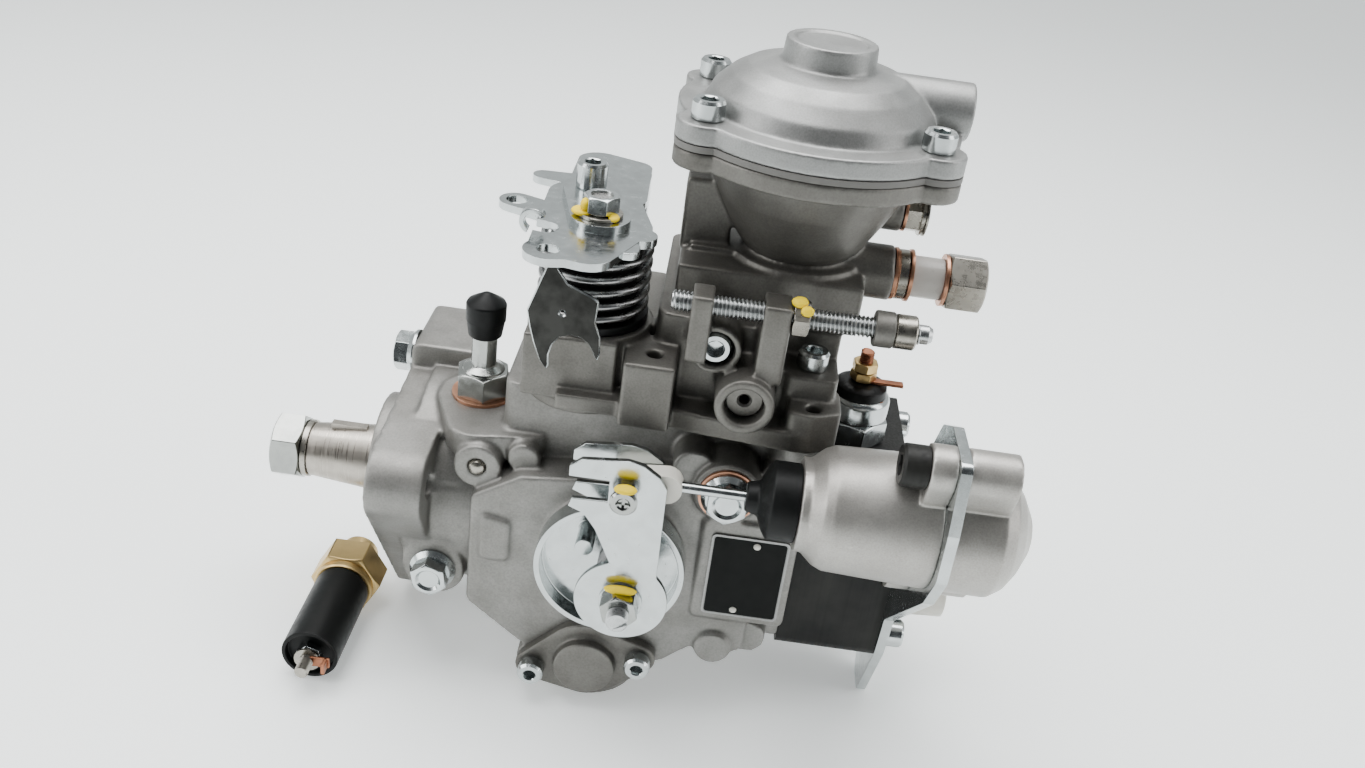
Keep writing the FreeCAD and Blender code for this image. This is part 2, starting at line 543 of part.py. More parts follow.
def governor_cover():
    solids = [
        outline_pad("cover_flange", "XY", [
            ("throttle_x - 18", "-30"), ("throttle_x - 10", "-37"), ("boost_x - 25", "-46"),
            ("boost_x + 5", "-49"), ("boost_x + 11", "-49"), ("housing_end + 5", "-44.5"),
            ("housing_end + 5", "30"), ("housing_end - 1", "36"),
            ("throttle_x - 10", "36"), ("throttle_x - 18", "28")],
            "joint_level", "joint_level + cover_plate", "3"),
        outline_pad("low_block", "XY", [
            ("throttle_x - 8", "-34"), ("throttle_x + 23", "-36"), ("throttle_x + 23", "32"),
            ("throttle_x - 8", "32")], "joint_level", "throttle_boss - 8", "cast_round"),
        outline_pad("high_block", "XY", [
            ("throttle_x + 21.5", "-34"), ("housing_end + 3", "-38"), ("housing_end + 3", "32"),
            ("throttle_x + 21.5", "32")], "joint_level", "cover_top", "cast_round"),
        outline_pad("shoulder", "XZ", [
            ("boost_x - 35", "cover_top - 2"), ("boost_x", "cover_top - 2"), ("boost_x", "bowl_low + 6"),
            ("boost_x - 25", "bowl_low + 6"), ("boost_x - 31", "cover_top + 8")], "-22", "20", "3"),
        outline_pad("left_rib", "XZ", [
            ("boost_x - 35", "cover_top + 3"), ("boost_x - 17", "cover_top + 3"),
            ("boost_x - 17", "boost_seam - 2"), ("boost_x - 35", "boost_seam - 2"),
            ("boost_x - 33", "bowl_low + 16")], "-12", "8"),
        rod("throttle_pillar", "20", "throttle_boss - joint_level",
            ("throttle_x", "throttle_y", "joint_level"), "Z"),
        rod("bowl_neck", "22", "bowl_low - cover_top + 6", ("boost_x", "boost_y", "cover_top - 4"), "Z"),
        turned("bowl", [("0", "0"), ("20", "0"), ("24", "3"), ("28", "14"), ("34", "28"),
                        ("36", "boost_seam - boost_flange - bowl_low"), ("36", "boost_seam - bowl_low"),
                        ("0", "boost_seam - bowl_low")], ("boost_x", "boost_y", "bowl_low")),
        join("bowl_rim", boost_plate("bowl_rim_part", "boost_seam - boost_flange", "boost_seam")),
        block("thread_block", ("80", "-51", "joint_level + 2"), ("96", "-30", "81.5")),
        outline_pad("lug_front", "YZ", [("-51", "84"), ("-36", "84"), ("-36", "96"), ("-41", "109"),
                                        ("-51", "109")], "98", "104.5", "2.5"),
        outline_pad("lug_rear", "YZ", [("-51", "80"), ("-30", "80"), ("-36", "100"), ("-41", "109"),
                                       ("-51", "109")], "119.5", "128", "2.5"),
        rod("screw_boss", "8", "17", ("107", "-30", "88"), "-Y"),
        rod("side_boss", "9.25", "27", ("118", "-28", "74"), "-Y"),
        outline_pad("corner_block", "XY", [
            ("boost_x + 3", "-48"), ("boost_x + 11", "-49"), ("housing_end + 5", "-44.5"),
            ("housing_end + 5", "-30"), ("boost_x + 3", "-30")], "joint_level", "71", "3"),
        outline_pad("corner_seat", "XY", [("130", "-39"), ("147", "-39"), ("147", "-20"), ("130", "-20")],
                    "joint_level", "78.5", "3"),
        rod("overflow_boss", "9", "overflow_face - boost_x", ("boost_x", "overflow_y", "overflow_z"), "X"),
        rod("vent_boss", "6.5", "overflow_face - boost_x", ("boost_x", "0", "vent_z"), "X"),
    ]
    holes = [
        block("cover_cavity", ("throttle_x - 9", "-chamber_half", "joint_level - 1"),
              ("chamber_rear", "chamber_half", "joint_level + 4")),
        block("cover_upper_cavity", ("throttle_x + 26", "-chamber_half", "joint_level + 3"),
              ("chamber_rear", "chamber_half", "cover_top - 8")),
        block("throttle_cavity", ("throttle_x - 8", "throttle_y - 7", "joint_level - 1"),
              ("throttle_x + 8", "-chamber_half + 1", "joint_level + 4")),
        rod("boost_pin_hole", "pin_shank + running_fit", "bowl_low - cover_top + 30",
            ("boost_x", "boost_y", "cover_top - 21"), "Z"),
        turned("bowl_inside", [("0", "0"), ("17", "0"), ("23", "12"), ("29", "24"),
                               ("31", "boost_seam - bowl_low - 5"), ("0", "boost_seam - bowl_low - 5")],
               ("boost_x", "boost_y", "bowl_low + 6")),
        rod("stop_hole", "stop_radius + thread_gap", "40", ("stop_start + 1", "stop_y", "stop_z"), "X"),
        rod("block_thread", "tapping_radius", "9", ("89", "-42", "73.5"), "Z"),
        rod("corner_thread", "tapping_radius", "9", ("140", "-43.5", "63"), "Z"),
        rod("screw_recess", "6", "8", ("107", "-40", "88"), "-Y"),
        rod("screw_recess_hole", "screw_shank + thread_gap", "16", ("107", "-26", "88"), "-Y"),
        rod("side_bore", "6.2", "13", ("118", "-43", "74"), "-Y"),
        rod("side_bore_end", "2", "10", ("118", "-35", "74"), "-Y"),
        rod("overflow_bore", "4", "16", ("overflow_face - 15", "overflow_y", "overflow_z"), "X"),
        rod("vent_bore", "3", "8", ("overflow_face - 7", "0", "vent_z"), "X"),
    ]
    bores = [
        block("corner_notch", ("boost_x", "-50", "78.5"), ("housing_end + 6", "-23", "cover_top + 1")),
        rod("cover_sink", "5.6", "cover_top - 77", COVER_SCREWS[1] + ("78.5",), "Z"),
        rod("throttle_hole", "throttle_radius + running_fit", "throttle_boss - joint_level",
            ("throttle_x", "throttle_y", "joint_level + 1"), "Z")]
    for index, (x, y) in enumerate(COVER_SCREWS):
        bores.append(rod("cover_hole_%d" % index, "screw_shank + thread_gap", "28",
                         (x, y, "joint_level - 1"), "Z"))
    for index, (x, y) in enumerate(BOOST_SCREWS):
        bores.append(rod("rim_hole_%d" % index, "screw_shank + thread_gap", "boost_flange + 2",
                         (x, y, "boost_seam - boost_flange - 1"), "Z"))
    # The cast's own seams stay as edges: merging faces across so many rounded blocks fails.
    cast = join("cover_cast", solids)
    cast.Refine = False
    hollow = carve("cover_hollow", cast, holes)
    hollow.Refine = False
    cover = carve("governor_cover", hollow, bores)
    cover.Refine = False
    keep("governor_cover", cover)


def boost_plate(name, low, high):
    """The compensator's round flange with its four ears."""
    thick = "(%s) - (%s)" % (high, low)
    round_part = rod(name + "_disc", "boost_radius", thick, ("boost_x", "boost_y", low))
    across = [belt_pad(name + "_ears_%d" % index, "XY", [
        (BOOST_SCREWS[a][0], BOOST_SCREWS[a][1], "boost_ear"),
        (BOOST_SCREWS[b][0], BOOST_SCREWS[b][1], "boost_ear")], low, high)
        for index, (a, b) in enumerate(((0, 2), (1, 3)))]
    return [round_part] + across


def compensator():
    low = "boost_seam + diaphragm_thick"
    top = "%s + boost_flange" % low
    dome = turned("dome", [
        ("0", "0"), ("36", "0"), ("36", "boost_flange"), ("34", "boost_flange + 5"),
        ("29", "boost_flange + 10"), ("24", "boost_flange + 13"), ("14.5", "boost_flange + 15"),
        ("14", "dome_top - (%s)" % low), ("11.5", "dome_top - (%s)" % low),
        ("11.5", "dome_top - (%s) - 0.7" % low), ("0", "dome_top - (%s) - 0.7" % low)],
        ("boost_x", "boost_y", low))
    port = rod("air_boss", "9", "air_end - boost_x", ("boost_x", "air_y", "air_z"), "X")
    shell = join("compensator_cast", boost_plate("dome_rim", low, top) + [dome, port])
    holes = [
        turned("dome_inside", [("0", "-1"), ("32", "-1"), ("32", "4"), ("28", "10"), ("20", "15"),
                               ("0", "16")], ("boost_x", "boost_y", low)),
        rod("air_hole", "air_bore", "air_end - boost_x", ("boost_x + 20", "air_y", "air_z"), "X"),
    ]
    for index, (x, y) in enumerate(BOOST_SCREWS):
        holes.append(rod("dome_hole_%d" % index, "screw_shank + thread_gap", "30", (x, y, low + " - 1"), "Z"))
        holes.append(rod("dome_sink_%d" % index, "5.8", "30", (x, y, top), "Z"))
    keep("compensator_cover", carve("compensator_cover", shell, holes))
    sheet_holes = [rod("sheet_hole_%d" % index, "screw_shank + thread_gap", "6",
                       (x, y, "boost_seam - 2"), "Z")
                   for index, (x, y) in enumerate(BOOST_SCREWS)]
    sheet_plate = join("diaphragm_plate", boost_plate("diaphragm_part", "boost_seam", low))
    sheet_holes.append(rod("sheet_centre", "4 + thread_gap", "6", ("boost_x", "boost_y", "boost_seam - 2")))
    keep("boost_diaphragm", carve("boost_diaphragm", sheet_plate, sheet_holes))
    pin = turned("boost_pin", [
        ("0", "0"), ("pin_shank", "0"), ("pin_shank", "boost_seam - cover_top + 13 - 3"),
        ("21", "boost_seam - cover_top + 13 - 3"), ("21", "boost_seam - cover_top + 13 - seat_gap"),
        ("4", "boost_seam - cover_top + 13 - seat_gap"),
        ("4", "boost_seam - cover_top + 13 + diaphragm_thick + seat_gap"),
        ("20", "boost_seam - cover_top + 13 + diaphragm_thick + seat_gap"),
        ("20", "boost_seam - cover_top + 13 + diaphragm_thick + 3"),
        ("0", "boost_seam - cover_top + 13 + diaphragm_thick + 3")],
        ("boost_x", "boost_y", "cover_top - 13"))
    keep("boost_pin", pin)
    keep("boost_spring", coil("boost_spring", "11", "1.3", "5", 6, ("boost_x", "boost_y", "bowl_low + 7.6")))
    return [screw_six("boost_screw_%d" % index, "16", (x, y, top), "Z")
            for index, (x, y) in enumerate(BOOST_SCREWS)]


def socket_screw(name, head, shank, height, length, seat, along):
    """Socket head screw: its seat is under the head, the head points along."""
    return turned(name, [
        ("0", "-(%s)" % length), (shank, "-(%s)" % length), (shank, "0"), (head, "0"),
        (head, height), ("%s * 0.55" % head, height), ("%s * 0.55" % head, "%s / 2" % height),
        ("0", "%s / 2" % height)], seat, along)


def screw_six(name, length, seat, along):
    """An M6 socket head screw."""
    return socket_screw(name, "screw_head", "screw_shank", "screw_height", length, seat, along)


def hex_bolt(name, flats, washer, height, shank, length, seat, along):
    """Hexagon flange bolt on its seat."""
    skirt = rod(name + "_skirt", washer, "2", seat, along)
    head = hexagon(name + "_head", flats, height, seat, along)
    way = TURN[along].multVec(V(0, 0, 1))
    back = tuple("(%s) - %d * (%s)" % (text, round(step), length) for text, step in zip(seat, way))
    stem = rod(name + "_stem", shank, length, back, along)
    return join(name, [skirt, head, stem])


def screws_and_plugs(compensator_screws):
    keep("cover_screws", group("cover_screws", compensator_screws + [
        screw_six("cover_screw_0", "30", COVER_SCREWS[0] + ("78.5",), "Z"),
        screw_six("cover_screw_1", "30", COVER_SCREWS[1] + ("78.5",), "Z"),
        screw_six("cover_screw_2", "28", COVER_SCREWS[2] + ("throttle_boss - 8",), "Z"),
        screw_six("cover_screw_3", "12", ("107", "-40", "88"), "-Y")]))
    keep("case_screws", group("case_screws", [
        socket_screw("timing_screw_%s_%d" % (side, index), "small_head", "small_shank", "screw_height", "14",
                     (x, "%s %s timing_cover" % (face, sign), z), way)
        for side, face, sign, way in (("near", "side_near", "-", "-Y"), ("far", "side_far", "+", "Y"))
        for index, (x, z) in enumerate(TIMING_SCREWS)] + [
            screw_six("head_screw_%d" % index, "head_end - housing_end + 9",
                      ("head_end + bracket_thick" if number(y) < 0 else "head_end", y, z), "X")
            for index, (y, z) in enumerate(HEAD_SCREWS)]))
    plug = join("side_plug", [
        rod("side_plug_stem", "7 - thread_gap", "12", ("plug_x", "side_near + 8", "plug_z"), "-Y"),
        rod("side_plug_skirt", "8.6", "1.5", ("plug_x", "side_near - 3.2", "plug_z"), "-Y"),
        hexagon("side_plug_hex", "12", "6", ("plug_x", "side_near - 3.2", "plug_z"), "-Y")])
    keep("bolts_and_plugs", group("bolts_and_plugs", [
        hex_bolt("side_bolt", "11", "8", "7.5", "4", "16",
                 ("flange_thick + 2", "-barrel_radius", "-17"), "-Y"),
        hex_bolt("top_bolt", "13", "8.5", "8", "4", "14", ("0",) + TOP_BOLT, "-X"),
        plug, ball("ball_plug", "3 - running_fit", ("inlet_x + 5", "-38.4", "29"))]))
    face = "overflow_face"
    keep("copper_washers", group("copper_washers", [
        collar("inlet_washer", "10.5", "6.1", "1.2", ("inlet_x", "inlet_y", "barrel_radius + inlet_rise")),
        collar("plug_washer", "9.6", "7", "1.2", ("plug_x", "side_near - 2", "plug_z"), "-Y"),
        collar("overflow_washer_0", "8.6", "4.1", "1.2", (face, "overflow_y", "overflow_z"), "X"),
        collar("overflow_washer_1", "8.6", "4.1", "1.2", (face + " + 5", "overflow_y", "overflow_z"), "X"),
        collar("overflow_washer_2", "8.6", "4.1", "1.2", (face + " + 16.4", "overflow_y", "overflow_z"), "X"),
        collar("vent_washer", "6.3", "3", "1", (face, "0", "vent_z"), "X")]))
    neck = collar("overflow_collar", "8.2", "4.1", "3.8", (face + " + 1.2", "overflow_y", "overflow_z"), "X")
    nut = hexagon("overflow_hex", "17", "12.5", (face + " + 17.6", "overflow_y", "overflow_z"), "X")
    stem = rod("overflow_stem", "4", "24", (face + " - 6", "overflow_y", "overflow_z"), "X")
    vent = join("vent_fitting", [
        hexagon("vent_hex", "11", "5", (face + " + 1", "0", "vent_z"), "X"),
        rod("vent_ring", "7", "3", (face + " + 6", "0", "vent_z"), "X"),
        rod("vent_stem", "3", "9", (face + " - 5", "0", "vent_z"), "X")])
    keep("return_fittings", group("return_fittings", [neck, join("overflow_bolt", [nut, stem]), vent]))
    keep("overflow_sleeve", collar("overflow_sleeve", "6.8", "4.1", "10.2",
                                   (face + " + 6.2", "overflow_y", "overflow_z"), "X"))


def inlet():
    top = "barrel_radius + inlet_rise + 1.2"
    keep("inlet_fitting", join("inlet_fitting", [
        hexagon("inlet_hex", "17", "9", ("inlet_x", "inlet_y", top)),
        rod("inlet_stem", "6", "10", ("inlet_x", "inlet_y", "barrel_radius + inlet_rise - 8.8")),
        cone("inlet_taper", "7", "4.3", "2", ("inlet_x", "inlet_y", top + " + 9")),
        rod("inlet_tube", "4.3", "22", ("inlet_x", "inlet_y", top + " + 9"))]))
    keep("inlet_cap", turned("inlet_cap", [
        ("4.3", "0"), ("6.6", "0"), ("6.8", "10"), ("5", "16"), ("0", "16"), ("0", "9.2"), ("4.3", "9.2")],
        ("inlet_x", "inlet_y", top + " + 22")))


def timing_device():
    covers = []
    for side, low in (("near", "side_near - timing_cover"), ("far", "side_far")):
        high = "(%s) + timing_cover" % low
        plate = belt_pad("timing_plate_" + side, "XZ", [
            (TIMING_SCREWS[0][0], TIMING_SCREWS[0][1], "6"), ("timing_x", "timing_z", "15"),
            (TIMING_SCREWS[1][0], TIMING_SCREWS[1][1], "6"), ("timing_x", "timing_z + 1", "15")], low, high)
        holes = [rod("timing_plate_hole_%s_%d" % (side, index), "small_shank + thread_gap", "20",
                     (x, "(%s) - 5" % low, z), "Y") for index, (x, z) in enumerate(TIMING_SCREWS)]
        if side == "near":
            plate = join("near_timing_cast", [plate, rod("near_timing_boss", "10.75", "4",
                                                         ("timing_x", low, "timing_z"), "-Y")])
        covers.append(carve("timing_cover_" + side, plate, holes))
    keep("timing_covers", group("timing_covers", covers))


def name_plate():
    keep("name_plate", outline_pad("name_plate", "XZ", [
        ("housing_end - 28.6", "-13"), ("housing_end - 2.5", "-13"), ("housing_end - 2.5", "20.2"),
        ("housing_end - 28.6", "20.2")], "side_near - 2.3", "side_near - 1.5", "2"))


def hydraulic_head():
    body = outline_pad("head_block", "YZ", [
        ("-head_half", "head_low"), ("head_half", "head_low"), ("head_half", "head_top"),
        ("-head_half", "head_top")], "housing_end", "head_end", "5")
    barrel = rod("distributor_barrel", "spigot_radius", "housing_end - spigot_start + 1",
                 ("spigot_start", "0", "0"), "X")
    holes = [
        rod("plunger_bore", "plunger_radius + running_fit", "head_end - spigot_start - 18",
            ("spigot_start - 1", "0", "0"), "X"),
        rod("armature_bore", "5 + running_fit", "17", ("shutoff_x", "0", "head_top - 16"), "Z"),
        rod("passage", "2", "head_top - 18", ("shutoff_x", "0", "4"), "Z"),
    ]
    for index, (y, z) in enumerate(HEAD_SCREWS):
        holes.append(rod("head_hole_%d" % index, "screw_shank + thread_gap", "40",
                         ("housing_end - 1", y, z), "X"))
    for index, (y, z) in enumerate(OUTLETS):
        holes.append(rod("outlet_bore_%d" % index, "5.5", "13", ("head_end - 12", y, z), "X"))
    keep("hydraulic_head", carve("hydraulic_head", join("head_steel", [body, barrel]), holes))
    holders, caps = [], []
    for index, (y, z) in enumerate(OUTLETS):
        holders.append(join("holder_%d" % index, [
            rod("holder_stem_%d" % index, "5.5 - thread_gap", "12", ("head_end - 11.5", y, z), "X"),
            hexagon("holder_hex_%d" % index, "holder_flats", "9", ("head_end", y, z), "X"),
            rod("holder_neck_%d" % index, "5.6", "holder_length", ("head_end", y, z), "X")]))
        caps.append(turned("cap_%d" % index, [
            ("5.6", "0"), ("cap_radius", "0"), ("cap_radius - 0.8", "14"), ("0", "15"), ("0", "12.2"),
            ("5.6", "12.2")], ("head_end + holder_length - 12.2", y, z), "X"))
    keep("delivery_valve_holders", group("delivery_valve_holders", holders))
    keep("delivery_caps", group("delivery_caps", caps))


OUTLETS = [polar("45 + %d" % (90 * index), "outlet_circle / 2") for index in range(4)]


def stop_solenoid():
    at = ("shutoff_x", "0", "head_top")
    keep("shutoff_body", turned("shutoff_body", [
        ("5 + running_fit", "0"), ("9.6", "0"), ("solenoid_radius", "1.5"), ("solenoid_radius", "17"),
        ("solenoid_radius - 1.3", "18"), ("0", "18"), ("0", "8"), ("5 + running_fit", "8")], at))
    keep("shutoff_insulator", turned("shutoff_insulator", [
        ("0", "0"), ("9.4", "0"), ("9", "3"), ("6", "4.5"), ("0", "4.5")],
        ("shutoff_x", "0", "head_top + 18")))
    keep("shutoff_terminal", join("shutoff_terminal", [
        hexagon("terminal_nut", "8", "3.5", ("shutoff_x", "0", "head_top + 22.5")),
        rod("terminal_stud", "2.2", "7.5", ("shutoff_x", "0", "head_top + 22.5")),
        block("terminal_strip", ("shutoff_x", "-3", "head_top + 22.5"),
              ("shutoff_x + 14", "0", "head_top + 23.7"))]))
    keep("shutoff_armature", turned("shutoff_armature", [
        ("0", "0"), ("3", "0"), ("5", "2"), ("5", "20"), ("0", "20")], ("shutoff_x", "0", "head_top - 14")))


def wax_actuator():
    keep("wax_cylinder", carve("wax_cylinder", join("wax_cast", [
        turned("wax_round", [
            ("0", "0"), ("14.5", "0"), ("14.5", "2.5"), ("wax_radius - 2.5", "wax_start - 138.5 - 1"),
            ("wax_radius - 1.2", "wax_start - 138.5 + 2"), ("wax_radius", "head_end - 138.5"),
            ("0", "head_end - 138.5")], ("138.5", "wax_y", "wax_z"), "X"),
        wax_ears("wax_front_ears", "head_end - 7.5", "head_end")]), [
            rod("wax_rod_hole", "rod_radius + 0.5", "26", ("138", "wax_y", "wax_z"), "X"),
            rod("wax_screw_hole", "4 + thread_gap", "20", ("head_end - 12", "wax_ear_y", "wax_ear_z"), "X")]))
    keep("wax_bracket", carve("wax_bracket", outline_pad("bracket_plate", "YZ", [
        ("-22", "foot_level"), ("-10", "foot_level"), ("-5", "foot_level + 8"), ("-8", "-33"),
        ("-24.3", "-29.5"), ("-24.3", "34"), ("-48", "wax_z + 26"), ("-60", "wax_ear_z + 7"),
        ("-82", "wax_ear_z + 7"), ("-87", "60"), ("-88", "44"), ("-80", "30"), ("-52", "2"),
        ("-38", "-12"), ("-36", "-29")], "head_end", "head_end + bracket_thick", "3"), [
            rod("bracket_hole", "4 + thread_gap", "20", ("head_end - 5", "wax_ear_y", "wax_ear_z"), "X"),
            rod("bracket_seat_0", "screw_shank + thread_gap", "20", ("head_end - 5",) + HEAD_SCREWS[1], "X"),
            rod("bracket_seat_1", "screw_shank + thread_gap", "20",
                ("head_end - 5",) + HEAD_SCREWS[3], "X")]))
    start = "head_end + bracket_thick"
    keep("wax_rear_cap", carve("wax_rear_cap", join("wax_cap_cast", [
        turned("wax_cap_round", [
            ("0", "0"), ("wax_radius", "0"), ("wax_radius", "15"), ("wax_radius - 2.5", "19"),
            ("wax_radius - 7", "22.5"), ("7", "wax_end - head_end - bracket_thick"),
            ("0", "wax_end - head_end - bracket_thick")], (start, "wax_y", "wax_z"), "X"),
        wax_ears("wax_rear_ears", start, start + " + 15")]), [
            rod("wax_cap_hole", "4 + thread_gap", "12", (start + " - 1", "wax_ear_y", "wax_ear_z"),
                "X")]))
    keep("wax_boot", turned("wax_boot", [
        ("rod_radius + 0.3", "0"), ("4.5", "0"), ("5.5", "4"), ("10", "6"), ("12.3", "7.5"),
        ("12.3", "16"), ("rod_radius + 0.5", "16")], ("122.5", "wax_y", "wax_z"), "X"))
    keep("wax_screw", socket_screw("wax_screw", "6.5", "4", "8", "20",
                                   ("head_end - 7.5", "wax_ear_y", "wax_ear_z"), "-X"))
    rod_end = carve("rod_end", belt_pad("rod_eye", "XZ", [
        ("98", "wax_z", "5"), ("cold_pin_x", "wax_z - 1.5", "5.2")], "wax_y - 3.1", "wax_y + 3.1"), [
            belt_pad("rod_slot", "XZ", [
                ("cold_pin_x", "wax_z - 1.2", "2.5 + seat_gap"),
                ("cold_pin_x", "wax_z - 3.2", "2.5 + seat_gap")],
                "wax_y - 4", "wax_y + 4"),
            rod("rod_socket", "rod_radius", "8", ("96", "wax_y", "wax_z"), "X")])
    keep("rod_bush", rod_end)
    keep("wax_rod", rod("wax_rod", "rod_radius", "58", ("96", "wax_y", "wax_z"), "X"))


def wax_ears(name, low, high):
    return belt_pad(name, "YZ", [
        ("wax_ear_y", "wax_ear_z", "7.5"),
        ("2 * wax_y - wax_ear_y", "2 * wax_z - wax_ear_z", "7.5")], low, high)


def cold_start_lever():
    z = "cold_z"
    front_back = "cold_front + cold_sheet"
    head = [("72", "57"), ("68.5", "54"), ("68.5", "50.5"), ("81", "50.5"), ("81", "43"), ("70", "42.6"),
            ("69", "39.5"), ("74", "37.5"), ("78", "32")]
    neck = [("84", "19"), ("84", z), ("99", z)]
    crown = [("98.5", "50"), ("96", "54"), ("91", "57.5"), ("86", "58.5")]
    rear_low = "%s + cold_gap" % front_back
    plates = [
        outline_pad("lever_front", "XZ", head + neck + crown, "cold_front", front_back),
        rod("lever_disc", "15", "cold_sheet", ("cold_x", front_back, z), "-Y"),
        outline_pad("lever_rear", "XZ", head + [("80", "27"), ("98.5", "27")] + crown, rear_low,
                    rear_low + " + cold_sheet"),
        block("lever_bridge", ("94", "%s - 0.5" % front_back, "28"), ("98", rear_low + " + 0.5", "38")),
        rod("lever_shaft", "5", "side_near + 15 - cold_front", ("cold_x", "side_near + 15", z), "-Y"),
        rod("lever_spacer", "7", "17.7", ("cold_x", "%s + 17.7" % front_back, z), "-Y"),
    ]
    keep("cold_lever", carve("cold_lever", join("cold_lever_sheet", plates), [
        rod("lever_pin_hole", "2.5", "cold_sheet + 2",
            ("cold_pin_x", front_back + " + 1", "wax_z - 1.5"), "-Y")]))
    pin = join("cold_lever_pin", [
        rod("pin_stem", "2.5", "cold_gap + cold_sheet", ("cold_pin_x", rear_low, "wax_z - 1.5"), "-Y"),
        rod("pin_sleeve", "3.6", "4", ("cold_pin_x", "cold_front", "wax_z - 1.5"), "-Y"),
        rod("pin_head", "4.3", "2", ("cold_pin_x", "cold_front - 4", "wax_z - 1.5"), "-Y")])
    nut = join("cold_lever_nut", [
        rod("nut_washer", "7.5", "1", ("cold_x", "cold_front", z), "-Y"),
        hexagon("cold_nut", "11", "5.5", ("cold_x", "cold_front - 1", z), "-Y"),
        rod("cold_tip", "3.5", "4.5", ("cold_x", "cold_front - 6.5", z), "-Y")])
    keep("cold_lever_fasteners", group("cold_lever_fasteners", [pin, nut]))
    cup = turned("cup_body", [
        ("0", "0"), ("cup_radius", "0"), ("cup_radius", "8"), ("cup_radius - 2", "8"),
        ("cup_radius - 2", "2"), ("0", "2")], ("cup_x", "side_near - 3", z), "-Y")
    stud = rod("cup_stud", "3", "12", ("cup_x - 8.5", "side_near - 4", z + " + 12"), "-Y")
    keep("spring_cup", carve("spring_cup", join("cup_with_stud", [cup, stud]), [
        rod("cup_hole", "5 + seat_gap", "8", ("cold_x", "side_near", z), "-Y")]))
    keep("cold_spring", coil("cold_spring", "9", "0.8", "1.9", 5, ("cold_x", "side_near - 6.1", z), "-Y"))


def throttle():
    keep("throttle_shaft", join("throttle_shaft", [
        rod("throttle_stem", "throttle_radius", "lever_level - joint_level - 2",
            ("throttle_x", "throttle_y", "joint_level + 2"), "Z"),
        rod("throttle_thread", "3.5", "lever_level - joint_level + 9",
            ("throttle_x", "throttle_y", "joint_level + 2"), "Z"),
        rod("throttle_eccentric", "2", "3", ("throttle_x", "throttle_y + 2.5", "joint_level + 0.5"))]))
    high = "lever_level + plate_thick"
    plate = [
        ("lever_main", [("66", "-2", "11"), ("59", "-2", "12"), ("56", "-46", "8"), ("66", "-48", "8"),
                        ("70", "-24", "13")]),
        ("lever_finger", [("39", "-14.5", "5.6"), ("58", "-22", "5.6")]),
        ("lever_hook", [("43.5", "11", "3.8"), ("58", "10", "6")]),
        ("lever_back", [("72", "30", "6"), ("60", "32", "8"), ("60", "0", "8"), ("72", "0", "7")]),
        ("lever_right", [("79.5", "-29", "5.5"), ("70", "-34", "6"), ("66", "-20", "6")]),
        ("lever_front_lobe", [("54.5", "-49", "7.5"), ("62", "-46", "8")]),
    ]
    solids = [belt_pad(name, "XY", circles, "lever_level", high) for name, circles in plate]
    solids.append(block("lever_tab", ("76", "14", "lever_level - 12"), ("78.4", "25", high)))
    solids.append(belt_pad("lever_strap", "XY", [("throttle_x", "throttle_y", "9.5"), ("60.5", "-1", "9")],
                           high, high + " + plate_thick"))
    keep("throttle_lever", carve("throttle_lever", join("lever_sheet", solids), [
        rod("lever_hole_finger", "3.4", "8", ("39", "-14.5", "lever_level - 2")),
        rod("lever_hole_front", "3.4", "8", ("54.5", "-49", "lever_level - 2")),
        rod("lever_hole_shaft", "3.5", "10", ("throttle_x", "throttle_y", "lever_level - 2")),
        rod("lever_hole_screw", "3", "10", ("60.5", "-1", "lever_level - 2")),
        belt_pad("lever_notch", "XY", [("51", "-33", "4.2"), ("38", "-31", "4.2")],
                 "lever_level - 2", high + " + 0.5")]))
    keep("throttle_fork", carve("throttle_fork", outline_pad("fork_sheet", "XZ", [
        ("55", "lever_level"), ("50", "95.4"), ("52", "86.7"), ("58.8", "77.5"), ("58.6", "86.6"),
        ("61", "89.6"), ("64.6", "90.8"), ("68.4", "89.6"), ("70.6", "87.5"), ("72.5", "83"),
        ("73.3", "89.5"), ("71.1", "98.2"), ("69.2", "lever_level")],
        "fork_y", "fork_y + fork_thick"), [
            rod("fork_hole", "0.9", "8", ("61", "fork_y - 2", "98"), "Y")]))
    top = "lever_level + 2 * plate_thick"
    keep("throttle_fasteners", group("throttle_fasteners", [
        carve("throttle_nut", join("throttle_nut_solid", [
            rod("throttle_washer", "7", "2", ("throttle_x", "throttle_y", top)),
            hexagon("throttle_hex", "10", "7", ("throttle_x", "throttle_y", top))]), [
                rod("throttle_nut_hole", "3.5", "9", ("throttle_x", "throttle_y", top + " - 1"))]),
        socket_screw("throttle_screw", "5", "3", "9", "2 * plate_thick + 3", ("60.5", "-1", top), "Z")]))
    keep("throttle_seal", collar("throttle_seal", "coil_radius + 1.4", "throttle_radius + seat_gap", "3",
                                 ("throttle_x", "throttle_y", "throttle_boss")))
    keep("throttle_spring", coil("throttle_spring", "coil_radius", "coil_wire", "4.4", 6,
                                 ("throttle_x", "throttle_y", "throttle_boss + 4.4")))


def speed_screw():
    keep("speed_screw", rod("speed_screw", "stop_radius", "78", ("stop_start", "stop_y", "stop_z"), "X"))
    nut = carve("speed_nut_body", hexagon("speed_nut", "10", "5", ("128.2", "stop_y", "stop_z"), "X"), [
        rod("speed_nut_hole", "stop_radius", "9", ("126", "stop_y", "stop_z"), "X")])
    keep("speed_screw_sleeve", collar("speed_screw_sleeve", "5.5", "stop_radius", "6",
                                      ("152.5", "stop_y", "stop_z"), "X"))
    keep("speed_screw_nuts", group("speed_screw_nuts", [
        nut, collar("speed_collar", "5.2", "stop_radius", "6.5", ("158.5", "stop_y", "stop_z"), "X")]))


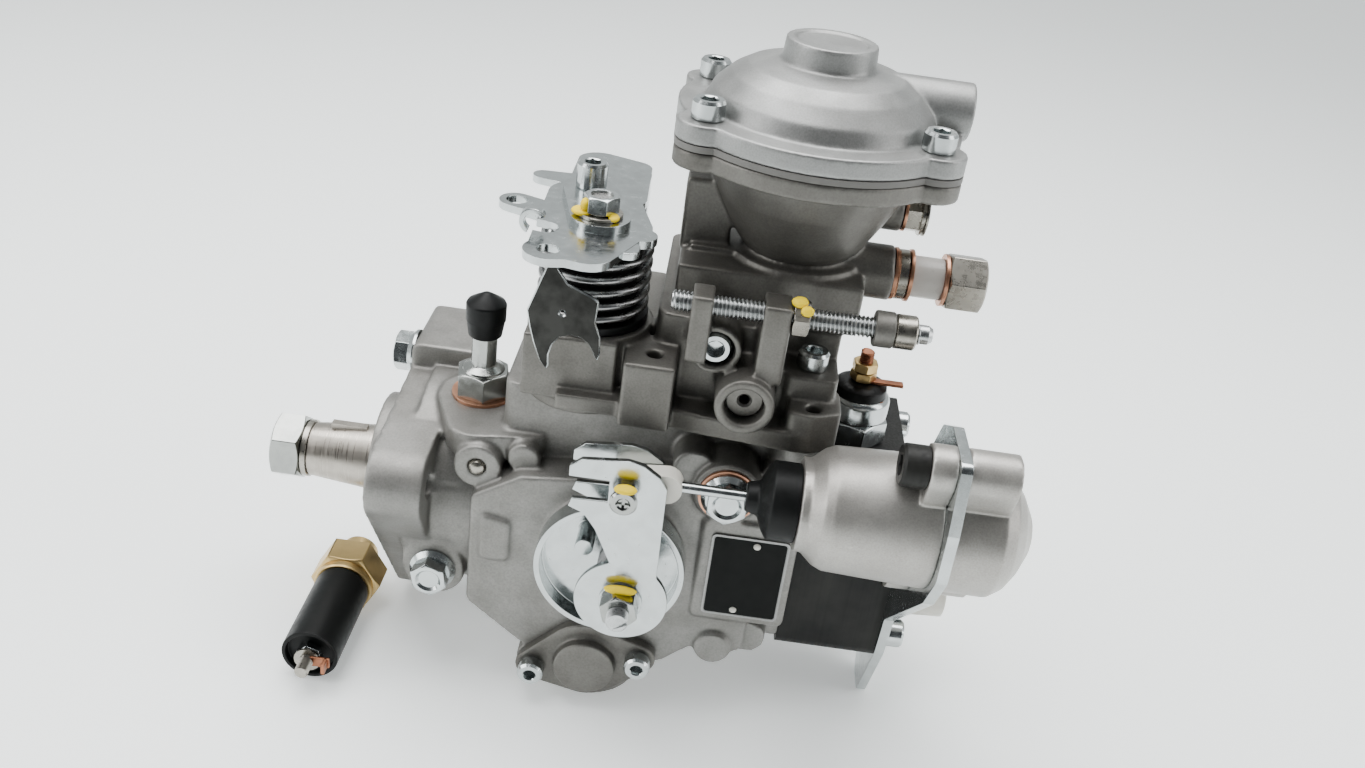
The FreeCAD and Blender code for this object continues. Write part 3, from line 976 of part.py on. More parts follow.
def wheel(name, teeth, bore, at, turn):
    """A straight-toothed gear about X with its bore, first tooth on the turned +Z."""
    pitch = "gear_module * %s / 2" % teeth
    body = doc.addObject("PartDesign::Body", name + "_body")
    disc_sketch = sketch_on(body, name + "_disc_sketch", "XY", "0", "gear_width")
    disc_sketch.addGeometry(Part.Circle(V(0, 0, 0), V(0, 0, 1), number(pitch)), False)
    disc_sketch.addConstraint(Sketcher.Constraint("Coincident", 0, 3, -1, 1))
    rule = disc_sketch.addConstraint(Sketcher.Constraint("Radius", 0, number(pitch)))
    bind(disc_sketch, "Constraints[%d]" % rule, pitch + " - gear_module * 1.2")
    pad(body, name + "_disc", disc_sketch, "0", "gear_width")
    tooth_sketch = sketch_on(body, name + "_tooth_sketch", "XY", "0", "gear_width")
    closed_outline(tooth_sketch, [
        (pitch + " - gear_module * 1.5", "-0.8 * gear_module"),
        (pitch + " + gear_module * 0.8", "-0.34 * gear_module"),
        (pitch + " + gear_module * 0.8", "0.34 * gear_module"),
        (pitch + " - gear_module * 1.5", "0.8 * gear_module")])
    tooth = pad(body, name + "_tooth", tooth_sketch, "0", "gear_width")
    tooth.recompute(True)
    pattern = body.newObject("PartDesign::PolarPattern", name + "_pattern")
    pattern.Originals = [tooth]
    pattern.Axis = (tooth_sketch, ["N_Axis"])
    pattern.Angle = 360
    bind(pattern, "Occurrences", teeth)
    body.Tip = pattern
    place(body, at, turn=FreeCAD.Rotation(V(1, 0, 0), turn) * TURN["X"])
    hole = rod(name + "_bore", bore, "gear_width + 4", (at[0] + " - 2", at[1], at[2]), "X")
    return carve(name, body, [hole])


def drive_line():
    seal_end = "seal_depth - pilot_length"
    gear = wheel("drive_gear", "drive_teeth", "journal_radius - 1", ("gear_start", "0", "0"), 0)
    shaft = turned("shaft_body", [
        ("0", "shaft_tip"), ("thread_radius - 1", "shaft_tip"), ("thread_radius", "shaft_tip + 1"),
        ("thread_radius", "cone_end"), ("cone_small", "cone_end"), ("cone_large", "-pilot_length"),
        ("journal_radius", "-pilot_length"), ("journal_radius", "gear_start - 1"),
        ("journal_radius - 1", "gear_start - 1"), ("journal_radius - 1", "shaft_tail"),
        ("0", "shaft_tail")], along="X")
    key = block("key", ("cone_end + 7", "-1.5", "cone_small - 2"),
                ("-pilot_length - 6", "1.5", "cone_large + 0.4"))
    claws = block("shaft_claws", ("shaft_tail - 1", "-8", "-3"), ("shaft_tail + 5", "8", "3"))
    keep("drive_shaft", join("drive_shaft", [shaft, key, gear, claws]))
    nut_start = "cone_end - washer_thick - nut_length"
    keep("shaft_nut", group("shaft_nut", [
        carve("nut", turned_hexagon("nut_solid", nut_start), [
            rod("nut_bore", "thread_radius", "nut_length + 2", (nut_start + " - 1", "0", "0"), "X")]),
        collar("spring_washer", "10.6", "thread_radius", "washer_thick",
               ("cone_end - washer_thick", "0", "0"), "X")]))
    keep("shaft_seal", collar("shaft_seal", "seal_radius", "journal_radius + seat_gap", "seal_depth - 1",
                              ("-pilot_length + 1", "0", "0"), "X"))
    outer = "cavity_radius - running_fit"
    disc = rod("feed_ring_disc", outer, "feed_ring_width", ("cavity_start", "0", "0"), "X")
    ring = carve("feed_ring_body", disc, [
        rod("feed_ring_bore", "feed_bore", "feed_ring_width + 2",
            ("cavity_start - 1", "0", "feed_offset"), "X")])
    cover = collar("feed_plate_body", outer, "journal_radius + seat_gap", "feed_plate",
                   ("cavity_start + feed_ring_width", "0", "0"), "X")
    keep("feed_pump_ring", group("feed_pump_ring", [ring, cover]))
    rotor_start = "cavity_start + seat_gap"
    rotor_width = "feed_ring_width - 2 * seat_gap"
    rotor = carve("rotor_body", collar("rotor_disc", "rotor_radius", "journal_radius", rotor_width,
                                       (rotor_start, "0", "0"), "X"), [
        block("vane_slot_0", (rotor_start + " - 1", "-vane_thick / 2", "-rotor_radius - 1"),
              (rotor_start + " + 20", "vane_thick / 2", "-rotor_radius + 5")),
        block("vane_slot_1", (rotor_start + " - 1", "-vane_thick / 2", "rotor_radius - 5"),
              (rotor_start + " + 20", "vane_thick / 2", "rotor_radius + 1")),
        block("vane_slot_2", (rotor_start + " - 1", "-rotor_radius - 1", "-vane_thick / 2"),
              (rotor_start + " + 20", "-rotor_radius + 5", "vane_thick / 2")),
        block("vane_slot_3", (rotor_start + " - 1", "rotor_radius - 5", "-vane_thick / 2"),
              (rotor_start + " + 20", "rotor_radius + 1", "vane_thick / 2"))])
    end = rotor_start + " + " + rotor_width
    reach = "feed_bore - feed_offset - seat_gap"
    vanes = [
        block("vane_0", (rotor_start, "-vane_thick / 2", "-(%s)" % reach),
              (end, "vane_thick / 2", "-rotor_radius + 5")),
        block("vane_1", (rotor_start, "-vane_thick / 2", "rotor_radius - 5"),
              (end, "vane_thick / 2", reach)),
        block("vane_2", (rotor_start, "-(%s)" % reach, "-vane_thick / 2"),
              (end, "-rotor_radius + 5", "vane_thick / 2")),
        block("vane_3", (rotor_start, "rotor_radius - 5", "-vane_thick / 2"),
              (end, reach, "vane_thick / 2"))]
    keep("feed_pump_rotor", group("feed_pump_rotor", [rotor] + vanes))


def turned_hexagon(name, start):
    """A hexagon nut about X with chamfered corners on its outer end."""
    prism = hexagon(name + "_prism", "nut_flats", "nut_length", (start, "0", "0"), "X")
    limit = turned(name + "_limit", [
        ("0", "0"), ("nut_flats / 2", "0"), ("nut_flats / 2 + 3", "1.8"),
        ("nut_flats / 2 + 3", "nut_length"), ("0", "nut_length")], (start, "0", "0"), "X")
    result = doc.addObject("Part::Common", name)
    result.Base = prism
    result.Tool = limit
    return result


def cam_drive():
    ring_start = "timing_x - ring_width / 2"
    ring_end = "timing_x + ring_width / 2"
    sleeve_height = "timing_z - timing_bore / 2 + 2"
    ring = join("ring_solid", [
        collar("ring_body", "cavity_radius - ring_gap", "ring_bore", "ring_width",
               (ring_start, "0", "0"), "X"),
        rod("timing_pin", "pin_radius", "-ring_bore - (%s) - 1" % sleeve_height,
            ("timing_x", "0", sleeve_height), "Z")])
    pockets, rollers = [], []
    ends = (("Y", "0", "1"), ("-Y", "0", "-1"), ("Z", "1", "0"), ("-Z", "-1", "0"))
    for index, (way, up, out) in enumerate(ends):
        reach = "(roller_place - 4)"
        at = (ring_end, "%s * %s" % (out, reach), "%s * %s" % (up, reach))
        rollers.append(rod("roller_%d" % index, "roller_radius", "8", at, way))
        near = "(roller_place - 4 - seat_gap)"
        at = (ring_end, "%s * %s" % (out, near), "%s * %s" % (up, near))
        pockets.append(rod("roller_pocket_%d" % index, "roller_radius + running_fit",
                           "8 + 2 * seat_gap", at, way))
    keep("roller_ring", group("roller_ring", [carve("roller_carrier", ring, pockets)] + rollers))
    keep("timing_piston", carve("timing_piston", rod("piston_body", "timing_bore", "2 * timing_half",
                                                     ("timing_x", "-timing_half", "timing_z"), "Y"), [
        rod("piston_hole", "pin_radius + 3", "timing_bore + 8",
            ("timing_x", "0", sleeve_height + " - 1"), "Z")]))
    cam_face = ring_end + " + roller_radius + seat_gap"
    disc_start = cam_face + " + cam_lift"
    lobes = [cone("cam_lobe_%d" % index, "3.2", "1.6", "cam_lift + 0.5", (
        disc_start + " + 0.5", "(cam_radius - 4.5) * cos(45 + %d)" % (90 * index),
        "(cam_radius - 4.5) * sin(45 + %d)" % (90 * index)), "-X") for index in range(4)]
    hub_start = "shaft_tail + 5 + seat_gap"
    hub = rod("cam_hub", "8", "%s + 0.5 - (%s)" % (disc_start, hub_start), (hub_start, "0", "0"), "X")
    keep("cam_plate", join("cam_plate", [
        rod("cam_disc", "cam_radius", "cam_thick", (disc_start, "0", "0"), "X"), hub] + lobes))
    plunger_start = disc_start + " + cam_thick"
    keep("plunger", join("plunger", [
        rod("plunger_foot", "8", "3", (plunger_start, "0", "0"), "X"),
        rod("plunger_body", "plunger_radius", "head_end - 30 - (%s)" % plunger_start,
            (plunger_start, "0", "0"), "X")]))
    spill_start = plunger_start + " + 6.5"
    fulcrum_x = "%s + 4" % spill_start
    keep("control_sleeve", carve("control_sleeve", rod("spill_body", "spill_radius", "spill_width",
                                                       (spill_start, "0", "0"), "X"), [
        rod("spill_bore", "plunger_radius + running_fit", "spill_width + 2",
            (spill_start + " - 1", "0", "0"), "X"),
        rod("spill_socket", "ball_radius + 0.6", "6", (fulcrum_x, "0", "spill_radius - 3.4"), "Z")]))
    low = "%s - lever_thick / 2" % fulcrum_x
    high = "%s + lever_thick / 2" % fulcrum_x
    keep("governor_lever", join("governor_lever", [
        belt_pad("lever_upper", "YZ", [("0", "fulcrum_z", "7"), ("0", GOVERNOR_Z + " + 4", "5")], low, high),
        rod("lever_leg", "1.7", "fulcrum_z - spill_radius", (fulcrum_x, "0", "spill_radius"), "Z"),
        ball("lever_ball", "ball_radius", (fulcrum_x, "0", "spill_radius")),
        rod("fulcrum_pin", "2.2", "2 * chamber_half - 2 * seat_gap",
            (fulcrum_x, "-chamber_half + seat_gap", "fulcrum_z"), "Y")]))
    governor(low)


def governor(lever_face):
    spindle_end = "gear_start + gear_width + weight_length + 26"
    keep("governor_spindle", rod("governor_spindle", "spindle_radius", "%s - chamber_front + 3" % spindle_end,
                                 ("chamber_front - 3", "0", GOVERNOR_Z), "X"))
    gear = wheel("weight_gear", "weight_teeth", "spindle_radius + running_fit",
                 ("gear_start", "0", GOVERNOR_Z), 360.0 / number("weight_teeth") / 2)
    cage_start = "gear_start + gear_width"
    cage = collar("cage", "cage_radius", "spindle_radius + running_fit", "3",
                  (cage_start, "0", GOVERNOR_Z), "X")
    posts = [block("cage_post_%d" % index,
                   (cage_start + " + 2.5", "%d * 11 - 1" % side, GOVERNOR_Z + " - 4"),
                   (cage_start + " + 3 + weight_length", "%d * 11 + 1" % side, GOVERNOR_Z + " + 4"))
             for index, side in enumerate((1, -1))]
    weights = [block("weight_%d" % index,
                     (cage_start + " + 3", "-7", GOVERNOR_Z + " + %s" % low),
                     (cage_start + " + 3 + weight_length", "7", GOVERNOR_Z + " + %s" % high))
               for index, (low, high) in enumerate((("6", "10"), ("-10", "-6")))]
    keep("weight_carrier", group("weight_carrier", [join("weight_cage", [gear, cage] + posts)] + weights))
    sleeve_start = cage_start + " + 3 + 2"
    tip_start = spindle_end + " + 3.5"
    keep("governor_sleeve", carve("governor_sleeve", join("sleeve_solid", [
        rod("sleeve_body", "sleeve_radius", "%s - (%s)" % (tip_start, sleeve_start),
            (sleeve_start, "0", GOVERNOR_Z), "X"),
        rod("sleeve_tip", "2", "(%s) - seat_gap - (%s) + 0.5" % (lever_face, tip_start),
            (tip_start + " - 0.5", "0", GOVERNOR_Z), "X")]), [
        rod("sleeve_bore", "spindle_radius + running_fit", "%s + 3 - (%s)" % (spindle_end, sleeve_start),
            (sleeve_start + " - 1", "0", GOVERNOR_Z), "X")]))


def loose_solenoid():
    """The cold-start solenoid that lies unscrewed on the bench beside the flange."""
    at = ("loose_x", "loose_y", "loose_z")
    keep("loose_hex", join("loose_hex", [
        hexagon("loose_hex_body", "loose_flats", "loose_hex", at, "-Y"),
        rod("loose_thread", "7", "9", ("loose_x", "loose_y + 9", "loose_z"), "-Y")]))
    keep("loose_barrel", turned("loose_barrel", [
        ("0", "0"), ("loose_radius", "0"), ("loose_radius", "loose_barrel"),
        ("loose_radius - 1.5", "loose_barrel"), ("loose_radius - 1.5", "loose_barrel - 2.5"),
        ("0", "loose_barrel - 2.5")], ("loose_x", "loose_y - loose_hex", "loose_z"), "-Y"))
    end = "loose_y - loose_hex - loose_barrel + 2.5"
    keep("loose_terminal", join("loose_terminal", [
        rod("loose_stud", "2.4", "11", ("loose_x", end, "loose_z"), "-Y"),
        hexagon("loose_nut", "8", "3.5", ("loose_x", end, "loose_z"), "-Y"),
        block("loose_strip", ("loose_x + 1", "%s - 5.5" % end, "loose_z - 2"),
              ("loose_x + 8", "%s - 4" % end, "loose_z + 2")),
        block("loose_tab", ("loose_x + 6", "%s - 9" % end, "loose_z - 2"),
              ("loose_x + 8", "%s - 5" % end, "loose_z + 2"))]))


drive_housing()
governor_cover()
screws_and_plugs(compensator())
inlet()
timing_device()
name_plate()
hydraulic_head()
stop_solenoid()
wax_actuator()
cold_start_lever()
throttle()
speed_screw()
drive_line()
cam_drive()
loose_solenoid()

doc.recompute()
for thing in doc.Objects:
    if "Invalid" in thing.State or "Error" in thing.State:
        raise RuntimeError("%s did not build: %s" % (thing.Label, thing.State))
for label, thing in NODES:
    if thing.Shape.isNull() or not thing.Shape.isValid():
        raise RuntimeError("%s has no valid shape" % label)
for label, thing in NODES:
    thing.Shape.exportStep("parts/%s.step" % label)
    print(label, len(thing.Shape.Solids), "solid(s)", round(thing.Shape.Volume / 1000, 2), "cm3")
print(len(NODES), "nodes")
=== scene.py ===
# %% [markdown]
# A diesel injection pump, dressed for a studio photograph. The solids come from the packed
# model and stay where they are. This notebook gives each of them its real surface: soft
# edges on castings, crisp bevels on pressed steel, threads, springs, rubber and finishes.

# %% Loading the frame
import bpy
import bmesh
import json
import math
from mathutils import Matrix, Vector

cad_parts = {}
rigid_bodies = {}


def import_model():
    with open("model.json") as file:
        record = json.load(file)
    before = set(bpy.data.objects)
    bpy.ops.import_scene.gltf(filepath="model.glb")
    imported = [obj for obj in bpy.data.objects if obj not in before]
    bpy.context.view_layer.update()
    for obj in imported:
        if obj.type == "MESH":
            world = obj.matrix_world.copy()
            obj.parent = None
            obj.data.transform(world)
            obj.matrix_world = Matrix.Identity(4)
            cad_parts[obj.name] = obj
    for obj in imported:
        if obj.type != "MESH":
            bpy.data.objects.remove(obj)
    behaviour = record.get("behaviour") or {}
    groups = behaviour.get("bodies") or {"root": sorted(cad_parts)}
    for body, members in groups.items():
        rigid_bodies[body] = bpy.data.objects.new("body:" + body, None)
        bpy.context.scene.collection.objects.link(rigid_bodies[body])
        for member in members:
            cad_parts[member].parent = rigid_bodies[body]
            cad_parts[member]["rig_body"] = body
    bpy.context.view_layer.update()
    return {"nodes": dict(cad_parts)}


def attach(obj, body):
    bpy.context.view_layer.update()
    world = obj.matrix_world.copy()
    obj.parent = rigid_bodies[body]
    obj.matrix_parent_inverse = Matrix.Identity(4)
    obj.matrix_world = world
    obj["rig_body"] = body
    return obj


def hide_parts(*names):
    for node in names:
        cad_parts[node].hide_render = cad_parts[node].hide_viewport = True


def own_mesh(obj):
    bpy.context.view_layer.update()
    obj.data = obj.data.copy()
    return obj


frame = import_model()
nodes = frame["nodes"]
MM = 0.001


def linked(name, data):
    """A new object in the scene with some data."""
    item = bpy.data.objects.new(name, data)
    bpy.context.scene.collection.objects.link(item)
    return item


# %% [markdown]
# The photographer stood in front of the name plate and looked down by about thirty degrees,
# with the camera rolled a little so that the drive shaft points slightly upwards. The same
# place, tilt, roll and lens make the render line up with the picture.

# %% The camera
TILT = math.radians(29.3)
ROLL = math.radians(8)
LENS_MM = 32.44
CAMERA_PLACE = (0.0986, -0.3764, 0.2599)
look = Vector((0, math.cos(TILT), -math.sin(TILT)))
side = Vector((1, 0, 0))
drop = look.cross(side)
across = side * math.cos(ROLL) - drop * math.sin(ROLL)
down = side * math.sin(ROLL) + drop * math.cos(ROLL)
lens = bpy.data.cameras.new("studio_camera")
lens.sensor_width = 36
lens.lens = LENS_MM
camera = linked("studio_camera", lens)
turn = Matrix((across, -down, -look)).transposed().to_4x4()
camera.matrix_world = Matrix.Translation(CAMERA_PLACE) @ turn
bpy.context.scene.camera = camera
print("camera at", tuple(round(value, 4) for value in camera.matrix_world.translation))

# %% [markdown]
# The floor is a pale sweep of paper, and the light is a white tent: one broad panel above,
# one in front to the left and a weaker one to the right. Broad panels give blasted metal
# its soft gradients and plated metal its long clean highlights.

# %% Floor and lights
FLOOR_Z = -0.0601


def panel(name, place, target, size, power):
    light = bpy.data.lights.new(name, "AREA")
    light.shape = "RECTANGLE"
    light.size, light.size_y = size
    light.energy = power
    lamp = linked(name, light)
    lamp.location = place
    lamp.rotation_euler = (Vector(target) - Vector(place)).to_track_quat("-Z", "Y").to_euler()
    return lamp


bpy.ops.object.select_all(action="DESELECT")
bpy.ops.mesh.primitive_plane_add(size=6, location=(0.09, 0, FLOOR_Z))
floor = bpy.context.object
floor.name = "paper_floor"
middle = (0.09, -0.02, 0.05)
panel("panel_above", (0.0, 0.15, 0.9), middle, (1.0, 0.8), 19)
panel("panel_left", (-0.85, -0.35, 0.5), middle, (0.5, 0.8), 6.6)
panel("panel_right", (0.95, -0.15, 0.45), middle, (0.4, 0.8), 3.9)
print("floor at", FLOOR_Z, "m and three panels")

# %% [markdown]
# Plated metal shows the room rather than itself. In a tent that is white all over it turns
# to chalk, so the room is darker on the side where the photographer stands: that puts the
# grey and black streaks into nuts, plates and screw heads. The paper and the castings only
# feel the average of it.

# %% The room
room = bpy.data.worlds.new("half_dark_tent")
room.use_nodes = True
tree = room.node_tree
tent = tree.nodes["Background"]
tent.inputs["Strength"].default_value = 0.84
compass = tree.nodes.new("ShaderNodeTexCoord")
facing = tree.nodes.new("ShaderNodeVectorMath")
facing.operation = "DOT_PRODUCT"
facing.inputs[1].default_value = Vector((0.08, -0.97, 0.22)).normalized()
shade = tree.nodes.new("ShaderNodeValToRGB")
shade.color_ramp.elements[0].position = 0.20
shade.color_ramp.elements[0].color = (0.90, 0.94, 0.94, 1)
shade.color_ramp.elements[1].position = 0.72
shade.color_ramp.elements[1].color = (0.10, 0.105, 0.11, 1)
tree.links.new(compass.outputs["Generated"], facing.inputs[0])
tree.links.new(facing.outputs["Value"], shade.inputs["Fac"])
tree.links.new(shade.outputs["Color"], tent.inputs["Color"])
bpy.context.scene.world = room
print("a room that is dark towards the photographer")

# %% [markdown]
# Finishes are built from a few noises on the piece's own coordinates. A casting is blasted
# with beads: a fine grain in its bump, and slow patches in tone and gloss. Every finish
# starts from one helper that makes the shader and remembers its nodes.

# %% Helpers for finishes
def shader_of(material):
    return material.node_tree.nodes["Principled BSDF"]


def grey(value):
    return (value, value, value)


def finish(name, colour, metallic, roughness):
    material = bpy.data.materials.new(name)
    material.use_nodes = True
    shader = shader_of(material)
    shader.inputs["Base Color"].default_value = (*colour, 1)
    shader.inputs["Metallic"].default_value = metallic
    shader.inputs["Roughness"].default_value = roughness
    material.diffuse_color = (*colour, 1)
    return material


def place_coordinates(material, stretch=(1, 1, 1)):
    tree = material.node_tree
    where = tree.nodes.new("ShaderNodeTexCoord")
    mapping = tree.nodes.new("ShaderNodeMapping")
    mapping.inputs["Scale"].default_value = stretch
    tree.links.new(where.outputs["Object"], mapping.inputs["Vector"])
    return mapping.outputs["Vector"]


def noise(material, size_mm, detail=2, stretch=(1, 1, 1), rough=0.5):
    tree = material.node_tree
    pattern = tree.nodes.new("ShaderNodeTexNoise")
    pattern.inputs["Scale"].default_value = 1 / (size_mm * MM)
    pattern.inputs["Detail"].default_value = detail
    pattern.inputs["Roughness"].default_value = rough
    tree.links.new(place_coordinates(material, stretch), pattern.inputs["Vector"])
    return pattern.outputs["Fac"]


def ramp(material, source, stops):
    tree = material.node_tree
    blend = tree.nodes.new("ShaderNodeValToRGB")
    blend.color_ramp.elements[0].position = stops[0][0]
    blend.color_ramp.elements[0].color = (*stops[0][1], 1)
    blend.color_ramp.elements[1].position = stops[-1][0]
    blend.color_ramp.elements[1].color = (*stops[-1][1], 1)
    for position, colour in stops[1:-1]:
        blend.color_ramp.elements.new(position).color = (*colour, 1)
    tree.links.new(source, blend.inputs["Fac"])
    return blend.outputs["Color"]


def spread(material, source, low, high, start=0.3, end=0.7):
    tree = material.node_tree
    scale = tree.nodes.new("ShaderNodeMapRange")
    for socket, value in (("From Min", start), ("From Max", end), ("To Min", low), ("To Max", high)):
        scale.inputs[socket].default_value = value
    tree.links.new(source, scale.inputs["Value"])
    return scale.outputs["Result"]


def connect(material, source, socket):
    material.node_tree.links.new(source, shader_of(material).inputs[socket])


def bump(material, source, depth_mm, strength=1.0, under=None):
    tree = material.node_tree
    relief = tree.nodes.new("ShaderNodeBump")
    relief.inputs["Distance"].default_value = depth_mm * MM
    relief.inputs["Strength"].default_value = strength
    tree.links.new(source, relief.inputs["Height"])
    if under is not None:
        tree.links.new(under, relief.inputs["Normal"])
    connect(material, relief.outputs["Normal"], "Normal")
    return relief.outputs["Normal"]


print("finish helpers ready")

# %% [markdown]
# Cast aluminium, blasted: the grain is a third of a millimetre, and the tone drifts over a
# few centimetres. Painted shade darkens the inward folds and a painted highlight lightens the edges.
# A second, larger bump keeps broad faces from looking machined flat.

# %% Cast aluminium
def multiply(material, first, second):
    tree = material.node_tree
    blend = tree.nodes.new("ShaderNodeMix")
    blend.data_type = "RGBA"
    blend.blend_type = "MULTIPLY"
    blend.inputs["Factor"].default_value = 1.0
    tree.links.new(first, blend.inputs["A"])
    tree.links.new(second, blend.inputs["B"])
    return blend.outputs["Result"]


def painted_hollow_shade_and_edge_light(material, depth):
    """Painted shade where the surface folds inwards and a painted highlight on its edges."""
    shape = material.node_tree.nodes.new("ShaderNodeNewGeometry")
    return ramp(material, shape.outputs["Pointiness"], [
        (0.40, grey(depth)), (0.49, grey(0.94)), (0.60, grey(1.12))])


def blasted(name, light, dark, gloss, grain=0.42):
    material = finish(name, light, 0.72, gloss)
    patches = ramp(material, noise(material, 22, 5, rough=0.62), [(0.30, dark), (0.62, light)])
    specks = ramp(material, noise(material, grain * 1.6, 2), [
        (0.25, grey(0.84)), (0.55, grey(1)), (0.80, grey(1.10))])
    # Random tone patches and grain specks, times painted shade in the inward folds and a painted highlight on
    # edges.
    tone_grain_and_painted_light = multiply(material, multiply(material, patches, specks), painted_hollow_shade_and_edge_light(material, 0.42))
    connect(material, tone_grain_and_painted_light, "Base Color")
    connect(material, spread(material, noise(material, 9, 3), gloss - 0.05, gloss + 0.09), "Roughness")
    soft = bump(material, noise(material, 5.5, 2), 0.10, 0.5)
    bump(material, noise(material, grain, 3, rough=0.7), 0.05, 0.85, soft)
    return material


CAST = blasted("blasted_aluminium", (0.270, 0.265, 0.250), (0.190, 0.184, 0.170), 0.47)
# CAST_DARK is the cast finish at about six tenths of its tone: on the governor cover it is partly dirtier
# metal and partly painted shade under the throttle lever.
CAST_DARK = blasted("blasted_aluminium_dark", (0.170, 0.164, 0.150), (0.115, 0.109, 0.098), 0.46)
CAST_FINE = blasted("blasted_aluminium_fine", (0.305, 0.308, 0.302), (0.245, 0.245, 0.238), 0.40, 0.34)
CAST_GREY = blasted("blasted_aluminium_grey", (0.420, 0.405, 0.380), (0.350, 0.334, 0.310), 0.37, 0.34)
print("cast finishes:", CAST.name, CAST_DARK.name, CAST_FINE.name, CAST_GREY.name)

# %% [markdown]
# Zinc plate is bright and slightly milky, with faint clouding from the bath. Ground and
# turned steel keep fine rings from the tool, so their noise is squeezed along one axis.

# %% Plated and bare steel
def plated(name, colour, gloss, cloud=0.05):
    material = finish(name, colour, 1.0, gloss)
    shade = tuple(value * (1 - cloud * 2) for value in colour)
    connect(material, ramp(material, noise(material, 7, 4), [(0.35, shade), (0.6, colour)]), "Base Color")
    connect(material, spread(material, noise(material, 2.4, 4), gloss - 0.05, gloss + 0.10), "Roughness")
    bump(material, noise(material, 0.9, 3), 0.012, 0.6)
    return material


def ringed(name, colour, gloss, stretch, grain=0.5):
    material = finish(name, colour, 1.0, gloss)
    lines = noise(material, grain, 3, stretch)
    connect(material, spread(material, lines, gloss - 0.08, gloss + 0.12), "Roughness")
    connect(material, ramp(material, noise(material, 5, 3), [
        (0.35, tuple(value * 0.86 for value in colour)), (0.65, colour)]), "Base Color")
    bump(material, lines, 0.002, 0.4)
    return material


def painted_groove_shade_and_edge_light(material, groove_shade, edge):
    """Multiplies a finish's colour by a painted shade factor in its grooves and a painted highlight factor on
    its edges.
    """
    tree = material.node_tree
    colour = shader_of(material).inputs["Base Color"].links[0].from_socket
    shape = tree.nodes.new("ShaderNodeNewGeometry")
    relief = ramp(material, shape.outputs["Pointiness"], [
        (0.42, grey(groove_shade)), (0.50, grey(1)), (0.56, grey(edge))])
    connect(material, multiply(material, colour, relief), "Base Color")
    return material


ZINC = plated("bright_zinc", (0.53, 0.56, 0.56), 0.18)
# The thread's grooves get painted shade and its crests a painted highlight.
THREADED = painted_groove_shade_and_edge_light(plated("threaded_zinc", (0.40, 0.41, 0.41), 0.28), 0.10, 1.3)
POLISHED = plated("polished_sheet", (0.034, 0.034, 0.032), 0.17, 0.25)
NUT_ZINC = plated("darker_zinc", (0.36, 0.37, 0.355), 0.16, 0.08)
ZINC_DULL = plated("dull_zinc", (0.36, 0.34, 0.30), 0.26, 0.08)
TURNED_X = ringed("turned_steel", (0.43, 0.395, 0.35), 0.32, (1, 0.02, 0.02), 0.3)
GROUND = ringed("ground_steel", (0.50, 0.49, 0.47), 0.28, (1, 1, 0.03))
SPRING = plated("spring_wire", (0.30, 0.30, 0.30), 0.27, 0.1)
print("steel finishes ready")

# %% [markdown]
# The hydraulic head is steel with a black oxide skin, milled all over, so fine straight
# lines show where the light grazes it. Rubber, plastics, brass and copper follow.

# %% Dark parts, brass and copper
def milled_black(name):
    material = finish(name, (0.012, 0.012, 0.012), 0.15, 0.46)
    shader_of(material).inputs["Specular IOR Level"].default_value = 0.22
    lines = noise(material, 0.9, 2, (1, 1, 0.02))
    connect(material, spread(material, lines, 0.38, 0.58), "Roughness")
    connect(material, ramp(material, noise(material, 14, 4), [
        (0.3, (0.006, 0.006, 0.006)), (0.7, (0.018, 0.018, 0.016))]), "Base Color")
    bump(material, lines, 0.03, 0.5)
    return material


def moulded(name, colour, gloss, grain=0.35, depth=0.02, shine=0.5):
    material = finish(name, colour, 0.0, gloss)
    shader_of(material).inputs["Specular IOR Level"].default_value = shine
    connect(material, spread(material, noise(material, 3, 3), gloss - 0.06, gloss + 0.08), "Roughness")
    connect(material, ramp(material, noise(material, 10, 3), [
        (0.3, tuple(value * 0.8 for value in colour)), (0.7, colour)]), "Base Color")
    bump(material, noise(material, grain, 2), depth, 0.5)
    return material


BLACK_HEAD = milled_black("black_oxide_steel")
RUBBER = moulded("black_rubber", (0.0055, 0.006, 0.006), 0.42, shine=0.16)
BLACK_PLASTIC = moulded("black_plastic", (0.007, 0.007, 0.007), 0.34, shine=0.2)
IVORY = moulded("ivory_plastic", (0.80, 0.77, 0.69), 0.38)
MILKY = moulded("milky_plastic", (0.60, 0.57, 0.53), 0.30)
BRASS = plated("machined_brass", (0.60, 0.43, 0.19), 0.33, 0.05)
COPPER = plated("bare_copper", (0.60, 0.31, 0.20), 0.32, 0.14)
COPPER_DARK = plated("browned_copper", (0.36, 0.15, 0.085), 0.38, 0.15)
GASKET = moulded("diaphragm_edge_cloth", (0.15, 0.145, 0.135), 0.55)
PLATE_BLACK = moulded("anodised_plate", (0.005, 0.006, 0.0055), 0.50, 0.5, 0.01, 0.10)
YELLOW = moulded("yellow_paint", (1.00, 0.72, 0.0), 0.50, shine=0.25)
print("dark, brass and copper finishes ready")

# %% [markdown]
# Castings come out of their mould with soft edges and filleted corners everywhere. Solids
# with knife edges look machined, so each casting is copied, wrapped in a fresh even skin of
# small cells, relaxed a little and thinned again. That rounds every edge by about a
# millimetre and fills inner corners the way molten metal does.

# %% Soft castings
CAD_MERGE = 0.01 * MM
MOST_TRIANGLES = 180000


def pick(piece):
    """Selects one object and makes it the active one."""
    bpy.ops.object.select_all(action="DESELECT")
    piece.select_set(True)
    bpy.context.view_layer.objects.active = piece


def edit(action="SELECT"):
    """Opens the active mesh with all or nothing of it selected."""
    bpy.ops.object.mode_set(mode="EDIT")
    bpy.ops.mesh.select_all(action=action)


